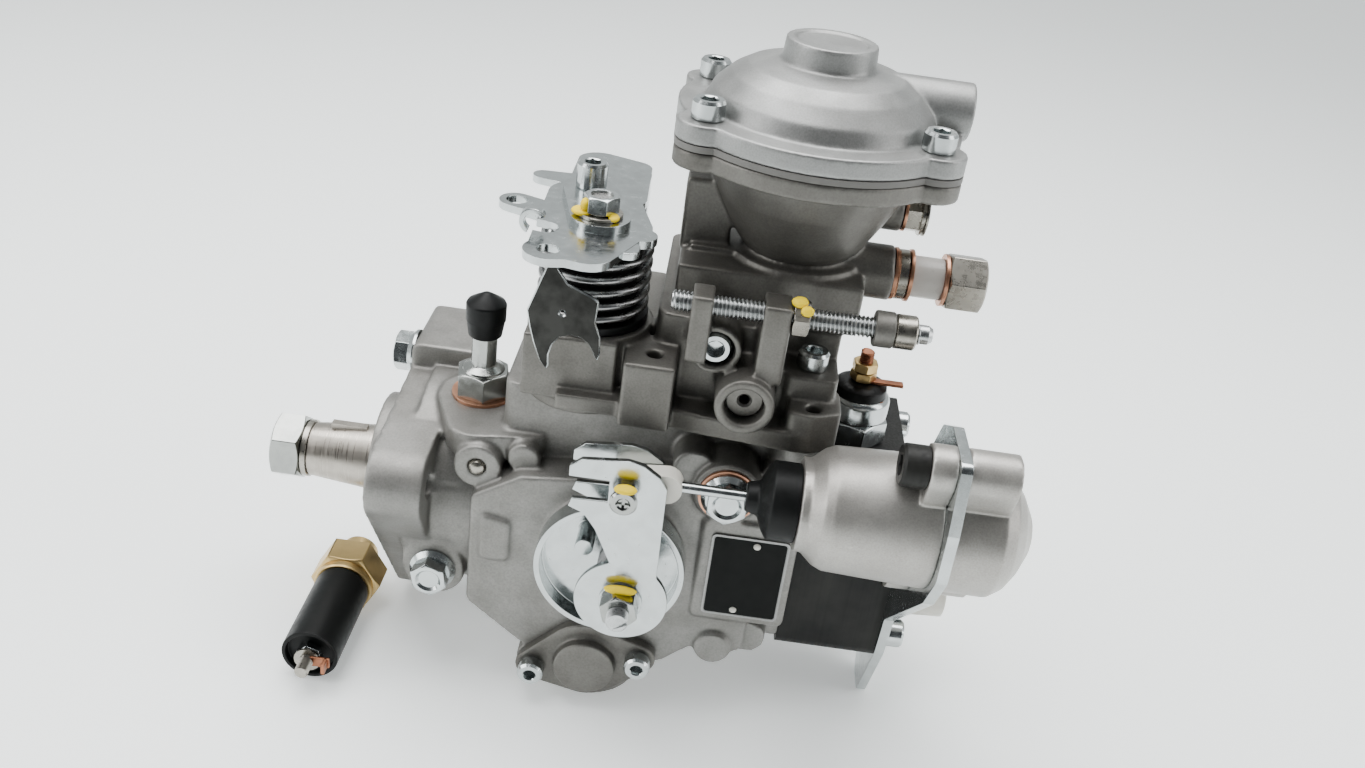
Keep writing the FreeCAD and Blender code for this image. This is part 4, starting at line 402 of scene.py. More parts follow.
def close():
    """Leaves the mesh."""
    bpy.ops.object.mode_set(mode="OBJECT")


def settle(name):
    """Names the new primitive and puts its place, turn and size into its mesh."""
    piece = bpy.context.object
    piece.name = name
    piece.data.name = name
    pick(piece)
    bpy.ops.object.transform_apply(location=True, rotation=True, scale=True)
    return piece


def slab(name, low, high):
    """A box between two corners in millimetres."""
    size = [(b - a) * MM for a, b in zip(low, high)]
    centre = [(a + b) * MM / 2 for a, b in zip(low, high)]
    bpy.ops.mesh.primitive_cube_add(size=1, location=centre, scale=size)
    return settle(name)


def copy_of(node, name):
    """A merged copy of a CAD node's mesh as an object of its own."""
    mesh = nodes[node].data.copy()
    mesh.name = name
    piece = linked(name, mesh)
    mesh.materials.clear()
    pick(piece)
    edit()
    bpy.ops.mesh.remove_doubles(threshold=CAD_MERGE)
    close()
    return piece


def modify(piece, kind, **values):
    """Adds a modifier with its values and applies it."""
    pick(piece)
    modifier = piece.modifiers.new(kind.lower(), kind)
    for key, value in values.items():
        setattr(modifier, key, value)
    bpy.ops.object.modifier_apply(modifier=modifier.name)


def bevel(piece, width_mm, segments=2, least=30):
    """Takes off the edges where two faces meet at more than an angle."""
    modify(piece, "BEVEL", width=width_mm * MM, segments=segments, limit_method="ANGLE",
           angle_limit=math.radians(least), use_clamp_overlap=True)
    return piece


def cut(piece, tool, operation="DIFFERENCE"):
    """An exact boolean that uses its tool up."""
    modify(piece, "BOOLEAN", operation=operation, solver="EXACT", object=tool)
    bpy.data.objects.remove(tool)
    return piece


def dress(piece, material, node, angle=None):
    """Gives a piece its finish, its shading and the node's body."""
    piece.data.materials.clear()
    piece.data.materials.append(material)
    pick(piece)
    if angle is None:
        bpy.ops.object.shade_smooth()
    else:
        bpy.ops.object.shade_smooth_by_angle(angle=math.radians(angle))
        modify(piece, "WEIGHTED_NORMAL", keep_sharp=True)
    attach(piece, nodes[node]["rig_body"])
    return piece


def stands_for(piece, node, material, angle=30):
    """Dresses a piece and hides the CAD node that it replaces."""
    dress(piece, material, node, angle)
    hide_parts(node)
    return piece


def soft_casting(node, name, material, cell_mm, passes, carved=(), added=()):
    """Shapes may be carved from the copy or added to it before it gets its skin."""
    piece = copy_of(node, name)
    for tool in carved:
        cut(piece, tool)
    for lump in added:
        pick(piece)
        lump.select_set(True)
        bpy.ops.object.join()
    modify(piece, "REMESH", mode="VOXEL", voxel_size=cell_mm * MM)
    modify(piece, "SMOOTH", factor=0.5, iterations=passes)
    count = sum(len(face.vertices) - 2 for face in piece.data.polygons)
    if count > MOST_TRIANGLES:
        modify(piece, "DECIMATE", ratio=MOST_TRIANGLES / count)
    stands_for(piece, node, material, None)
    print(name, count, "triangles before thinning")


soft_casting("drive_housing", "housing_casting", CAST, 0.75, 7)
soft_casting("compensator_cover", "dome_casting", CAST_FINE, 0.6, 5)
soft_casting("wax_cylinder", "actuator_casting", CAST_GREY, 0.5, 5)
soft_casting("wax_rear_cap", "actuator_cap", CAST_GREY, 0.5, 5)
soft_casting("timing_covers", "timing_cover_castings", CAST_DARK, 0.45, 4)

# %% [markdown]
# Everything pressed, turned or moulded keeps its crisp outline but not a perfect edge. A
# copy of each solid gets its flat faces cleaned up and a narrow bevel, so that every edge
# catches a thin line of light as the real one does.

# %% Bevelled copies
def crisp(node, name, material, edge_mm):
    """A copy with clean flat faces and a narrow bevel on every sharp edge."""
    piece = copy_of(node, name)
    edit()
    bpy.ops.mesh.dissolve_limited(angle_limit=math.radians(0.5))
    close()
    return stands_for(bevel(piece, edge_mm, 2, 35), node, material)


PLAIN = [
    ("boost_diaphragm", "diaphragm_edge", GASKET, "cloth_rubber", 0.2),
    ("boost_pin", "boost_rod", GROUND, "ground_steel", 0.2),
    ("copper_washers", "sealing_washers", COPPER, "copper", 0.15),
    ("overflow_sleeve", "overflow_spacer", MILKY, "white_plastic", 0.3),
    ("hydraulic_head", "black_head", BLACK_HEAD, "black_steel", 0.5),
    ("delivery_valve_holders", "valve_holders", ZINC, "zinc_steel", 0.3),
    ("delivery_caps", "valve_caps", IVORY, "white_plastic", 0.5),
    ("shutoff_insulator", "stop_solenoid_top", BLACK_PLASTIC, "black_plastic", 0.3),
    ("shutoff_armature", "stop_solenoid_plunger", GROUND, "ground_steel", 0.2),
    ("wax_bracket", "actuator_bracket", ZINC, "zinc_steel", 0.5),
    ("wax_boot", "rubber_boot", RUBBER, "black_rubber", 0.6),
    ("rod_bush", "rod_end_bush", IVORY, "white_plastic", 0.4),
    ("wax_rod", "actuator_rod", ZINC, "zinc_steel", 0.1),
    ("cold_lever", "cold_start_plates", ZINC, "zinc_steel", 0.35),
    ("spring_cup", "pressed_spring_cup", ZINC, "zinc_steel", 0.4),
    ("throttle_shaft", "throttle_spindle", GROUND, "ground_steel", 0.2),
    ("throttle_lever", "throttle_plate", ZINC, "zinc_steel", 0.4),
    ("throttle_seal", "spindle_seal", RUBBER, "black_rubber", 0.5),
    ("speed_screw_sleeve", "speed_screw_spacer", CAST_DARK, "zinc_steel", 0.6),
    ("drive_shaft", "tapered_shaft", TURNED_X, "ground_steel", 0.3),
    ("shaft_seal", "drive_shaft_seal", RUBBER, "black_rubber", 0.3),
    ("feed_pump_ring", "vane_pump_ring", GROUND, "ground_steel", 0.2),
    ("feed_pump_rotor", "vane_pump_rotor", GROUND, "ground_steel", 0.15),
    ("roller_ring", "roller_carrier", GROUND, "ground_steel", 0.2),
    ("timing_piston", "advance_piston", CAST_FINE, "cast_aluminium", 0.3),
    ("cam_plate", "cam_disc", GROUND, "ground_steel", 0.2),
    ("plunger", "pump_plunger", GROUND, "ground_steel", 0.2),
    ("control_sleeve", "spill_sleeve", GROUND, "ground_steel", 0.2),
    ("governor_lever", "regulating_lever", GROUND, "ground_steel", 0.2),
    ("governor_spindle", "weight_spindle", GROUND, "ground_steel", 0.2),
    ("weight_carrier", "flyweight_cage", GROUND, "ground_steel", 0.15),
    ("governor_sleeve", "sliding_sleeve", GROUND, "ground_steel", 0.2),
    ("loose_barrel", "loose_solenoid_barrel", RUBBER, "black_plastic", 0.5),
]
done = {}
for node, name, material, slot, edge in PLAIN:
    done[node] = crisp(node, name, material, edge)
print(len(done), "bevelled pieces")

# %% [markdown]
# Every screw, nut, union and washer on the pump is a turned or hexagonal part. A lathe cuts
# a round part from its outline, and Blender's spin does the same: an outline of edges is
# drawn beside the axis and swept round it. Doubles on the axis are merged and the faces are
# turned outwards.

# %% The lathe
SHELL_MERGE = 0.002 * MM


def outline_of(name, points):
    """A line of edges through points given in millimetres as (radius, height)."""
    mesh = bpy.data.meshes.new(name)
    mesh.from_pydata([(radius * MM, 0, height * MM) for radius, height in points],
                     [(index, index + 1) for index in range(len(points) - 1)], [])
    piece = linked(name, mesh)
    pick(piece)
    return piece


def tidy_shell(piece, fill=False):
    """Merges doubles, closes open ends where asked and turns the faces outwards."""
    pick(piece)
    edit()
    bpy.ops.mesh.remove_doubles(threshold=SHELL_MERGE)
    if fill:
        bpy.ops.mesh.fill_holes(sides=0)
        bpy.ops.mesh.select_all(action="SELECT")
    bpy.ops.mesh.normals_make_consistent(inside=False)
    close()
    return piece


def lathe(name, points, sides=56):
    """A body of revolution about Z from its outline."""
    piece = outline_of(name, points)
    edit()
    bpy.ops.mesh.spin(steps=sides, angle=2 * math.pi, center=(0, 0, 0), axis=(0, 0, 1))
    close()
    return tidy_shell(piece)


def unite(name, parts):
    """Several shells as one object."""
    bpy.ops.object.select_all(action="DESELECT")
    for part in parts:
        part.select_set(True)
    bpy.context.view_layer.objects.active = parts[0]
    bpy.ops.object.join()
    parts[0].name = name
    parts[0].data.name = name
    return parts[0]


def lay(template, name, place_mm, way, node, material, turn=0, angle=30):
    """A copy with its own mesh, its +Z along a direction, standing for a CAD node."""
    mesh = template.data.copy()
    mesh.name = name
    swing = Vector(way).to_track_quat("Z", "Y").to_matrix().to_4x4()
    roll = Matrix.Rotation(math.radians(turn), 4, "Z")
    mesh.transform(Matrix.Translation(Vector(place_mm) * MM) @ swing @ roll)
    piece = linked(name, mesh)
    return stands_for(piece, node, material, angle)


def put(piece, place_mm, tip=0, axis="Y"):
    """Tips a mesh about an axis through its origin and moves it to its place."""
    swing = Matrix.Rotation(math.radians(tip), 4, axis)
    piece.data.transform(Matrix.Translation(Vector(place_mm) * MM) @ swing)
    return piece


def clear(*templates):
    """Removes pieces that only served as patterns for copies."""
    for template in templates:
        bpy.data.objects.remove(template)


print("lathe ready")

# %% [markdown]
# Under the compensator the cover swells into a round bowl, like the bottom of a ladle. The
# solid has a plain cone there, so its copy is turned down with a ring-shaped tool, and the
# small rib and the two bosses that the tool takes off are put back. A shoulder stands behind
# the bowl, and a square front with a ledge below the throttle lever. The skin then runs over
# all of it in one.

# %% The cover casting
BOOST_X, BOOST_Y = 129, -2
BOWL_LOW, BOWL_HIGH, BOWL_CLEAR = 106.6, 137.9, 60
BOWL_WALL = [(16.4, BOWL_LOW), (20.2, 110.5), (23.4, 115.5), (26.4, 121), (29, 126), (31, 131), (32.6, 135),
             (33.4, BOWL_HIGH)]
bowl_tool = put(lathe("bowl_tool", BOWL_WALL + [(BOWL_CLEAR, BOWL_HIGH), (BOWL_CLEAR, BOWL_LOW),
                                                (16.4, BOWL_LOW)], 72), (BOOST_X, BOOST_Y, 0))
lumps = [
    slab("rib", (91.2, -9, 104), (107, 6, 127.5)),
    slab("square_front", (48.2, -44.2, 62), (77.5, -26, 83.6)),
    slab("ledge", (60, -49.2, 61), (81, -40, 66.5)),
    slab("shoulder", (92, -24.4, 88), (151, 18, 104.6)),
    put(lathe("vent_boss", [(0, 0), (6.5, 0), (6.5, 8.9), (0, 8.9)], 40), (152, 0, 123), 90),
    put(lathe("overflow_boss", [(0, 0), (9, 0), (9, 28), (0, 28)], 48), (132.9, -4, 103), 90)]
soft_casting("governor_cover", "cover_casting", CAST_DARK, 0.7, 5, [bowl_tool], lumps)

# %% [markdown]
# A hexagon is forged or milled from bar and its corners are turned off by a chamfer, so the
# flats end in arcs. Here a six-sided cylinder is intersected with a turned limit that has
# the chamfer's cone, and a narrow bevel rounds the rest.

# %% Hexagons
def hexagon_bar(name, flats, height, bore=0, both=False, edge_mm=0.15):
    """A hexagon with its foot at the origin, chamfered on top or on both faces."""
    corner = flats / math.sqrt(3)
    face = flats * 0.475
    wide = corner * 1.02
    chamfer = (corner - face) * 0.55
    bpy.ops.mesh.primitive_cylinder_add(vertices=6, radius=corner * MM, depth=height * MM,
                                        location=(0, 0, height * MM / 2))
    bar = settle(name)
    foot = [(face, 0), (wide, chamfer)] if both else [(wide, 0)]
    limit = lathe("chamfer_limit", [(0, 0)] + foot + [(wide, height - chamfer), (face, height), (0, height)])
    cut(bar, limit, "INTERSECT")
    if bore:
        cut(bar, lathe("bore_tool", [(0, -1), (bore, -1), (bore, height + 1), (0, height + 1)], 40))
    return bevel(bar, edge_mm, 2, 28)


print("hexagon helper ready")

# %% [markdown]
# A thread is a notch wound up a cylinder. One turn's profile is drawn as two short edges and
# the Screw modifier winds it up; the two open ends are then filled. A coil spring is the
# same move with a small circle of wire in place of the notch.

# %% Threads and springs
def wind(piece, pitch, turns, steps):
    """Winds an outline up about Z and closes its two ends."""
    modify(piece, "SCREW", axis="Z", angle=2 * math.pi, screw_offset=pitch * MM, iterations=turns,
           steps=steps, render_steps=steps, use_merge_vertices=True, merge_threshold=SHELL_MERGE)
    return tidy_shell(piece, fill=True)


def thread(name, radius, pitch, length):
    """A thread by its outer radius, its crest a narrow flat in the middle of the pitch."""
    root = radius - pitch * 0.5
    notch = outline_of(name, [(root, 0), (radius, pitch * 0.44), (radius, pitch * 0.56), (root, pitch)])
    return wind(notch, pitch, round(length / pitch), 22)


def spring(name, radius, wire, pitch, turns, steps=36):
    """A coil by the radius of its centre line and of its wire."""
    bpy.ops.mesh.primitive_circle_add(vertices=10, radius=wire * MM, location=(radius * MM, 0, 0),
                                      rotation=(math.pi / 2, 0, 0))
    return wind(settle(name), pitch, turns, steps)


print("thread and spring helpers ready")

# %% [markdown]
# Eighteen socket head screws hold the pump together. Their heads are turned with a small
# chamfer, knurled round the rim, and the hexagon socket is punched in. One of each size is
# modelled: the knurl comes from pulling every other line of its rim inwards, and the socket
# is cut with a six-sided tool. The rest are copies at their own places and turns.

# %% Socket head screws
RIM_LINES = 72
KNURL = 0.984


def socket_head(name, head, height, shank, length, key):
    """A screw by the radii of its head and shank and the width of its key."""
    screw = lathe(name, [(0, -length), (shank, -length), (shank, 0), (head - 0.4, 0), (head, 0.4),
                         (head, height - 0.9), (head - 0.7, height), (0, height)], RIM_LINES)
    edit("DESELECT")
    shell = bmesh.from_edit_mesh(screw.data)
    for vertex in shell.verts:
        line = math.atan2(vertex.co.y, vertex.co.x) / (2 * math.pi) * RIM_LINES
        outer = math.hypot(vertex.co.x, vertex.co.y) > (head - 0.05) * MM
        if outer and round(line) % 2:
            vertex.select_set(True)
    shell.select_flush(True)
    bmesh.update_edit_mesh(screw.data)
    bpy.ops.transform.resize(value=(KNURL, KNURL, 1), center_override=(0, 0, 0))
    close()
    bpy.ops.mesh.primitive_cylinder_add(vertices=6, radius=key / math.sqrt(3) * MM, depth=height * MM,
                                        location=(0, 0, height * 0.95 * MM))
    cut(screw, settle("key_tool"))
    low, high = height - 0.4, height + 0.1
    mouth = lathe("mouth_tool", [(0, low), (key * 0.5, low), (key * 0.62, high), (0, high)], 32)
    return cut(screw, mouth)


SCREW_SIX = socket_head("socket_screw_m6", 5.0, 6.0, 2.95, 12, 5.0)
SCREW_FIVE = socket_head("socket_screw_m5", 4.6, 5.4, 2.45, 12, 4.0)
UP, TO_NEAR, TO_FAR, REAR, FRONT = (0, 0, 1), (0, -1, 0), (0, 1, 0), (1, 0, 0), (-1, 0, 0)
SIX_PLACES = [
    ("cover_screws", (163, 21, 152), UP), ("cover_screws", (95, 21, 152), UP),
    ("cover_screws", (95, -25, 152), UP), ("cover_screws", (163, -25, 152), UP),
    ("cover_screws", (138.5, -30, 78.5), UP), ("cover_screws", (137, 26, 78.5), UP),
    ("cover_screws", (62, 25, 76), UP), ("cover_screws", (107, -40, 88), TO_NEAR),
    ("case_screws", (179.5, 29.5, 28), REAR), ("case_screws", (183, -29.5, 28), REAR),
    ("case_screws", (179.5, 29.5, -24), REAR), ("case_screws", (183, -29.5, -24), REAR)]
FIVE_PLACES = [((59.5, -48, -46), TO_NEAR), ((96.5, -48, -37), TO_NEAR),
               ((59.5, 44, -46), TO_FAR), ((96.5, 44, -37), TO_FAR)]
for index, (node, place, way) in enumerate(SIX_PLACES):
    lay(SCREW_SIX, "socket_screw_%d" % index, place, way, node, ZINC, turn=17 * index)
for index, (place, way) in enumerate(FIVE_PLACES):
    lay(SCREW_FIVE, "timing_screw_%d" % index, place, way, "case_screws", ZINC, turn=23 * index)
tall = socket_head("tall_socket_screw", 5.0, 8.6, 2.95, 7, 5.0)
lay(tall, "throttle_socket_screw", (60.5, -1, 117), UP, "throttle_fasteners", ZINC, turn=12)
black = socket_head("black_socket_screw", 6.5, 8.0, 3.9, 12, 6.0)
lay(black, "actuator_socket_screw", (172, -74, 74), FRONT, "wax_screw", BLACK_HEAD, 8)
clear(SCREW_SIX, SCREW_FIVE, tall, black)
print(len(SIX_PLACES) + len(FIVE_PLACES) + 2, "socket screws")

# %% [markdown]
# The flange bolts have a hexagon on a sloping skirt. The skirt is turned, the hexagon stands
# on it, and the top is dished a little, as cold-forged heads are.

# %% Hexagon bolts and plugs
def flange_head(name, flats, skirt, height):
    """A bolt by its hexagon's width, its skirt's radius and its head's height."""
    base = lathe(name + "_skirt", [(0, -12), (3.9, -12), (3.9, 0), (skirt, 0), (skirt, 0.9),
                                   (flats * 0.56, 2.6), (0, 2.6)])
    head = hexagon_bar(name + "_hexagon", flats, height)
    low, high = height - 0.9, height + 0.2
    dish = lathe("dish_tool", [(0, low), (flats * 0.30, low), (flats * 0.40, high), (0, high)], 40)
    return unite(name, [cut(head, dish), base])


side_bolt = flange_head("side_bolt", 11.6, 8, 7.4)
lay(side_bolt, "side_flange_bolt", (21, -38, -17), TO_NEAR, "bolts_and_plugs", ZINC, turn=10)
top_bolt = flange_head("top_bolt", 13, 8.5, 7.9)
lay(top_bolt, "front_flange_bolt", (0, 20.5, 35), FRONT, "bolts_and_plugs", ZINC, turn=20)
plug = flange_head("plug", 12.6, 8.6, 5.9)
lay(plug, "side_plug", (118, -47.2, 36), TO_NEAR, "bolts_and_plugs", ZINC)
pea = lathe("pea", [(0, -3), (2.9, -3), (2.9, 1.2), (2.4, 2.2), (1.5, 2.75), (0, 2.95)], 36)
lay(pea, "pressed_ball", (35, -38.4, 29), TO_NEAR, "bolts_and_plugs", ZINC_DULL)
clear(side_bolt, top_bolt, plug, pea)
print("flange bolts, plug and pressed ball")

# %% [markdown]
# The drive shaft ends in a thread with a nut, a spring washer under it and a centre hole
# from the lathe. The nut is chamfered on both faces. The split washer is a square wire of
# one turn: a turned ring with a slanting notch cut through it.

# %% Shaft nut
nut = hexagon_bar("shaft_hexagon", 22, 10.8, 7.0, both=True, edge_mm=0.25)
lay(nut, "drive_shaft_nut", (-35.5, 0, 0), FRONT, "shaft_nut", NUT_ZINC, turn=8)
ring = lathe("washer_ring", [(7.2, 0.1), (10.4, 0.1), (10.6, 0.3), (10.6, 2.1), (10.4, 2.3), (7.2, 2.3),
                             (7.2, 0.1)])
bpy.ops.mesh.primitive_cube_add(size=1, location=(9 * MM, 0, 1.2 * MM), rotation=(math.radians(35), 0, 0),
                                scale=(6 * MM, 0.9 * MM, 6 * MM))
cut(ring, settle("split_tool"))
lay(ring, "shaft_spring_washer", (-33.05, 0, 0), FRONT, "shaft_nut", ZINC_DULL, turn=200)
clear(nut, ring)
print("shaft nut and spring washer")

# %% [markdown]
# Fuel goes in through a union on top of the flange end, closed for shipping by a soft black
# cap with a cone on top, and it returns through the union and the small vent at the rear.
# The vent has two turned ribs behind its hexagon.

# %% Unions and caps
INLET_X, INLET_Y = 30, -9
RETURN_Y, RETURN_Z = -4, 103
union = hexagon_bar("inlet_hexagon", 17, 9, edge_mm=0.25)
neck = lathe("inlet_neck", [(0, 8.9), (7.4, 8.9), (7.0, 9.6), (4.9, 10.8), (4.3, 11.4), (4.3, 30.6),
                            (3.6, 31), (0, 31)])
foot = lathe("inlet_foot", [(0, -8.8), (5.9, -8.8), (5.9, 0.05), (0, 0.05)])
inlet = unite("inlet", [union, neck, foot])
lay(inlet, "inlet_union", (INLET_X, INLET_Y, 40.2), UP, "inlet_fitting", NUT_ZINC, turn=12)
cap = lathe("soft_cap", [(4.35, 0), (5.3, 0), (5.7, 0.4), (6.5, 5.6), (6.75, 6.0), (6.85, 11.6),
                         (6.4, 12.5), (1.6, 15.5), (0, 16), (0, 9.3), (4.35, 9.3), (4.35, 0)])
lay(cap, "inlet_shipping_cap", (INLET_X, INLET_Y, 62.2), UP, "inlet_cap", RUBBER, angle=50)
bolt = hexagon_bar("return_hexagon", 17, 12.4, both=True, edge_mm=0.3)
stem = lathe("return_stem", [(0, -23.6), (3.95, -23.6), (3.95, 0.05), (0, 0.05)])
banjo = unite("banjo", [bolt, stem])
lay(banjo, "return_union", (178.6, RETURN_Y, RETURN_Z), REAR, "return_fittings", ZINC_DULL, turn=14)
neck = lathe("return_neck", [(4.15, 0), (7.7, 0), (8.2, 0.5), (8.2, 3.3), (7.7, 3.8), (4.15, 3.8),
                             (4.15, 0)])
lay(neck, "return_collar", (162.2, RETURN_Y, RETURN_Z), REAR, "return_fittings", ZINC_DULL, angle=40)
foot_of_vent = lathe("vent_foot", [(0, -5), (2.95, -5), (2.95, 0.9), (0, 0.9)], 32)
vent_hexagon = put(hexagon_bar("vent_hexagon", 11, 5, edge_mm=0.2), (0, 0, 0.9))
grooves = lathe("vent_grooves", [(0, 4.9), (5.6, 4.9), (5.6, 5.3), (7.0, 5.5), (7.0, 6.2), (6.1, 6.4),
                                 (6.1, 6.7), (7.0, 6.9), (7.0, 7.5), (6.2, 7.7), (5.2, 8.0), (0, 8.0)])
vent = unite("vent", [vent_hexagon, grooves, foot_of_vent])
lay(vent, "vent_union", (161.05, 0, 123), REAR, "return_fittings", ZINC_DULL, turn=5, angle=40)
clear(inlet, cap, banjo, neck, vent)
print("inlet, return and vent unions")

# %% [markdown]
# The speed stop screw is a long thread through two lugs, held by a locknut, with a grey
# spacer and a collar nut at its end. Its thread is what the eye reads first, so it is real.

# %% Speed screw
SPEED_Y, SPEED_Z = -46, 102.5
SPEED_PITCH, SPEED_TURNS = 1.25, 59
rod = thread("speed_thread", 3.25, SPEED_PITCH, SPEED_PITCH * SPEED_TURNS)
tip = lathe("speed_tip", [(0, 73.6), (2.9, 73.6), (2.9, 76.6), (2.1, 77.9), (0, 77.9)], 32)
core = lathe("speed_core", [(0, 0.05), (2.5, 0.05), (2.64, 0.4), (2.64, 74), (0, 74)], 32)
screw = unite("speed_stop", [rod, tip, core])
lay(screw, "speed_stop_screw", (92, SPEED_Y, SPEED_Z), REAR, "speed_screw", THREADED)
locknut = hexagon_bar("speed_hexagon", 10, 5, 3.3, both=True)
lay(locknut, "speed_locknut", (128.2, SPEED_Y, SPEED_Z), REAR, "speed_screw_nuts", ZINC_DULL, turn=18)
collar = lathe("speed_collar", [(3.35, 0), (4.7, 0), (5.2, 0.5), (5.2, 6.0), (4.8, 6.5), (3.35, 6.5),
                                (3.35, 0)])
lay(collar, "speed_collar_nut", (158.5, SPEED_Y, SPEED_Z), REAR, "speed_screw_nuts", ZINC_DULL)
clear(screw, locknut, collar)
print("speed screw with", SPEED_TURNS, "turns of thread")

# %% [markdown]
# The throttle spring is a heavy dark coil under the lever, wound with open turns. A black
# cylinder inside it is painted shade for the dark cavity seen between the turns. The cold-start
# spring is thin wire behind the lever's disc.

# %% Outer springs
THROTTLE_X, THROTTLE_Y = 66.5, -24
COLD_X, COLD_Z = 88.5, 5.5
coil = spring("throttle_coil", 16.6, 1.2, 4.4, 5, 48)
lay(coil, "throttle_return_spring", (THROTTLE_X, THROTTLE_Y, 88.4), UP, "throttle_spring", SPRING,
    30, 60)
# A black cylinder inside the coil, painted shade for the dark cavity behind its turns.
shade_core = lathe("shade_core", [(5.6, 0), (14.4, 0), (14.7, 0.4), (14.7, 23.2), (13.6, 24), (5.6, 24), (5.6, 0)])
lay(shade_core, "throttle_spring_shade_core", (THROTTLE_X, THROTTLE_Y, 87.3), UP, "throttle_seal", BLACK_PLASTIC,
    angle=40)
thin = spring("cold_coil", 9, 0.75, 1.9, 4)
lay(thin, "cold_start_spring", (COLD_X, -50.1, COLD_Z), TO_NEAR, "cold_spring", SPRING, 0, 60)
clear(coil, thin, shade_core)
print("two springs and a former")

# %% [markdown]
# Inside the compensator a spring holds the rod up; it gets shorter as the rod goes down. The
# diaphragm is clamped between the rod's two plates. It is split there: the disc goes with the rod
# and the rest stays.

# %% Compensator spring and diaphragm
boost = spring("boost_coil", 11, 1.25, 5.2, 5)
squeezed = lay(boost, "boost_return_spring", (BOOST_X, BOOST_Y, 113.7), UP, "boost_spring", SPRING,
               0, 60)
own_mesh(squeezed)
disc = lathe("disc", [(0, 0), (20.2, 0), (20.2, 2), (0, 2)], 64)
lay(disc, "diaphragm_centre", (BOOST_X, BOOST_Y, 144), UP, "boost_pin", GASKET)
centre_tool = lathe("centre_tool", [(0, 130), (21.8, 130), (21.8, 152), (0, 152)], 64)
cut(done["boost_diaphragm"], put(centre_tool, (BOOST_X, BOOST_Y, 0)))
clear(boost, disc)
print("compensator spring and the diaphragm's centre")

# %% [markdown]
# A nut and a flat washer hold the throttle lever. The cold-start lever has the same washer, a
# nut with a threaded tip, and above them a headed pin with a cross recess.

# %% Lever fasteners
flat = lathe("flat_washer", [(3.6, 0), (6.8, 0), (7.0, 0.2), (7.0, 1.0), (6.8, 1.2), (3.6, 1.2), (3.6, 0)])
lay(flat, "throttle_flat_washer", (THROTTLE_X, THROTTLE_Y, 117), UP, "throttle_fasteners", ZINC_DULL)
nut = hexagon_bar("throttle_hexagon", 10, 5.4, 3.5, both=True)
lay(nut, "throttle_nut", (THROTTLE_X, THROTTLE_Y, 118.4), UP, "throttle_fasteners", ZINC, turn=22)
lay(flat, "cold_flat_washer", (COLD_X, -69, COLD_Z), TO_NEAR, "cold_lever_fasteners", ZINC)
nut_eleven = hexagon_bar("cold_hexagon", 11, 5.4, both=True)
lay(nut_eleven, "cold_start_nut", (COLD_X, -70.1, COLD_Z), TO_NEAR, "cold_lever_fasteners", NUT_ZINC, turn=15)
tip = thread("cold_thread", 3.5, 1.0, 4)
lay(tip, "cold_start_thread", (COLD_X, -75.4, COLD_Z), TO_NEAR, "cold_lever_fasteners", THREADED)
pin = lathe("headed_pin", [(0, -9), (2.45, -9), (2.45, 0), (3.6, 0), (3.6, 3.9), (4.1, 4.0), (4.3, 4.3),
                           (4.3, 5.4), (3.7, 5.95), (2.2, 6.0), (1.6, 5.5), (0, 5.4)])
for half_x, half_y in ((2.3, 0.45), (0.45, 2.3)):
    cut(pin, slab("cross_tool", (-half_x, -half_y, 4.4), (half_x, half_y, 7)))
lay(pin, "cold_start_pin", (86, -69, 47), TO_NEAR, "cold_lever_fasteners", NUT_ZINC, angle=35)
clear(flat, nut, nut_eleven, tip, pin)
print("lever fasteners")

# %% [markdown]
# The round boss on the cover's near side has a bottom with a small hole, a turned ring.

# %% Bottom of the side boss
bottom = lathe("boss_bottom", [(1.7, 0), (6.3, 0), (6.3, 6.2), (5.4, 7), (2.4, 7), (1.7, 6.4), (1.7, 0)])
lay(bottom, "side_boss_bottom", (118, -43, 74), TO_NEAR, "governor_cover", CAST_DARK)
clear(bottom)
print("side boss bottom")

# %% [markdown]
# The name plate is a thin aluminium sheet, printed black inside a bare rim and held by two
# drive pins. It stays blank. The sheet is a box whose front face is inset and pushed in by a
# hair, and the black field lies in that recess.

# %% Name plate
def round_uprights(piece, axis, width, segments=5):
    """Rounds the edges that run along one axis."""
    pick(piece)
    edit("DESELECT")
    shell = bmesh.from_edit_mesh(piece.data)
    for edge in shell.edges:
        run = edge.verts[0].co - edge.verts[1].co
        if abs(run[axis]) > 0.999 * run.length:
            edge.select_set(True)
    bmesh.update_edit_mesh(piece.data)
    bpy.ops.mesh.bevel(offset=width * MM, segments=segments, affect="EDGES")
    close()
    return piece


plate = round_uprights(slab("plate_sheet", (115.4, -46.3, -13), (141.5, -45.5, 20.2)), 1, 1.6)
edit("DESELECT")
shell = bmesh.from_edit_mesh(plate.data)
for face in shell.faces:
    if face.normal.y < -0.99:
        face.select_set(True)
bmesh.update_edit_mesh(plate.data)
bpy.ops.mesh.inset(thickness=0.7 * MM, depth=0)
bpy.ops.mesh.inset(thickness=0.1 * MM, depth=-0.12 * MM)
close()
stands_for(plate, "name_plate", CAST_FINE, 20)
field = round_uprights(slab("plate_field", (116.3, -46.24, -12.1), (140.6, -46.0, 19.3)), 1, 1.0)
stands_for(field, "name_plate", PLATE_BLACK, 20)
rivet = lathe("drive_pin", [(0, -0.3), (1.25, -0.3), (1.25, 0.1), (1.0, 0.45), (0.55, 0.62), (0, 0.66)], 28)
for index, place in enumerate(((130.6, -46.2, 17.3), (126.3, -46.2, -10.2))):
    lay(rivet, "plate_pin_%d" % index, place, TO_NEAR, "name_plate", IVORY, angle=50)
clear(rivet)
print("name plate with a bare field")

# %% [markdown]
# Two tongues of the throttle lever are bent in the press: one turns down round the spring at
# the front right, below a rounded ear of the plate, and a small one curls up at the left. A
# short stretch of spin makes each curve, and its two open ends are filled.

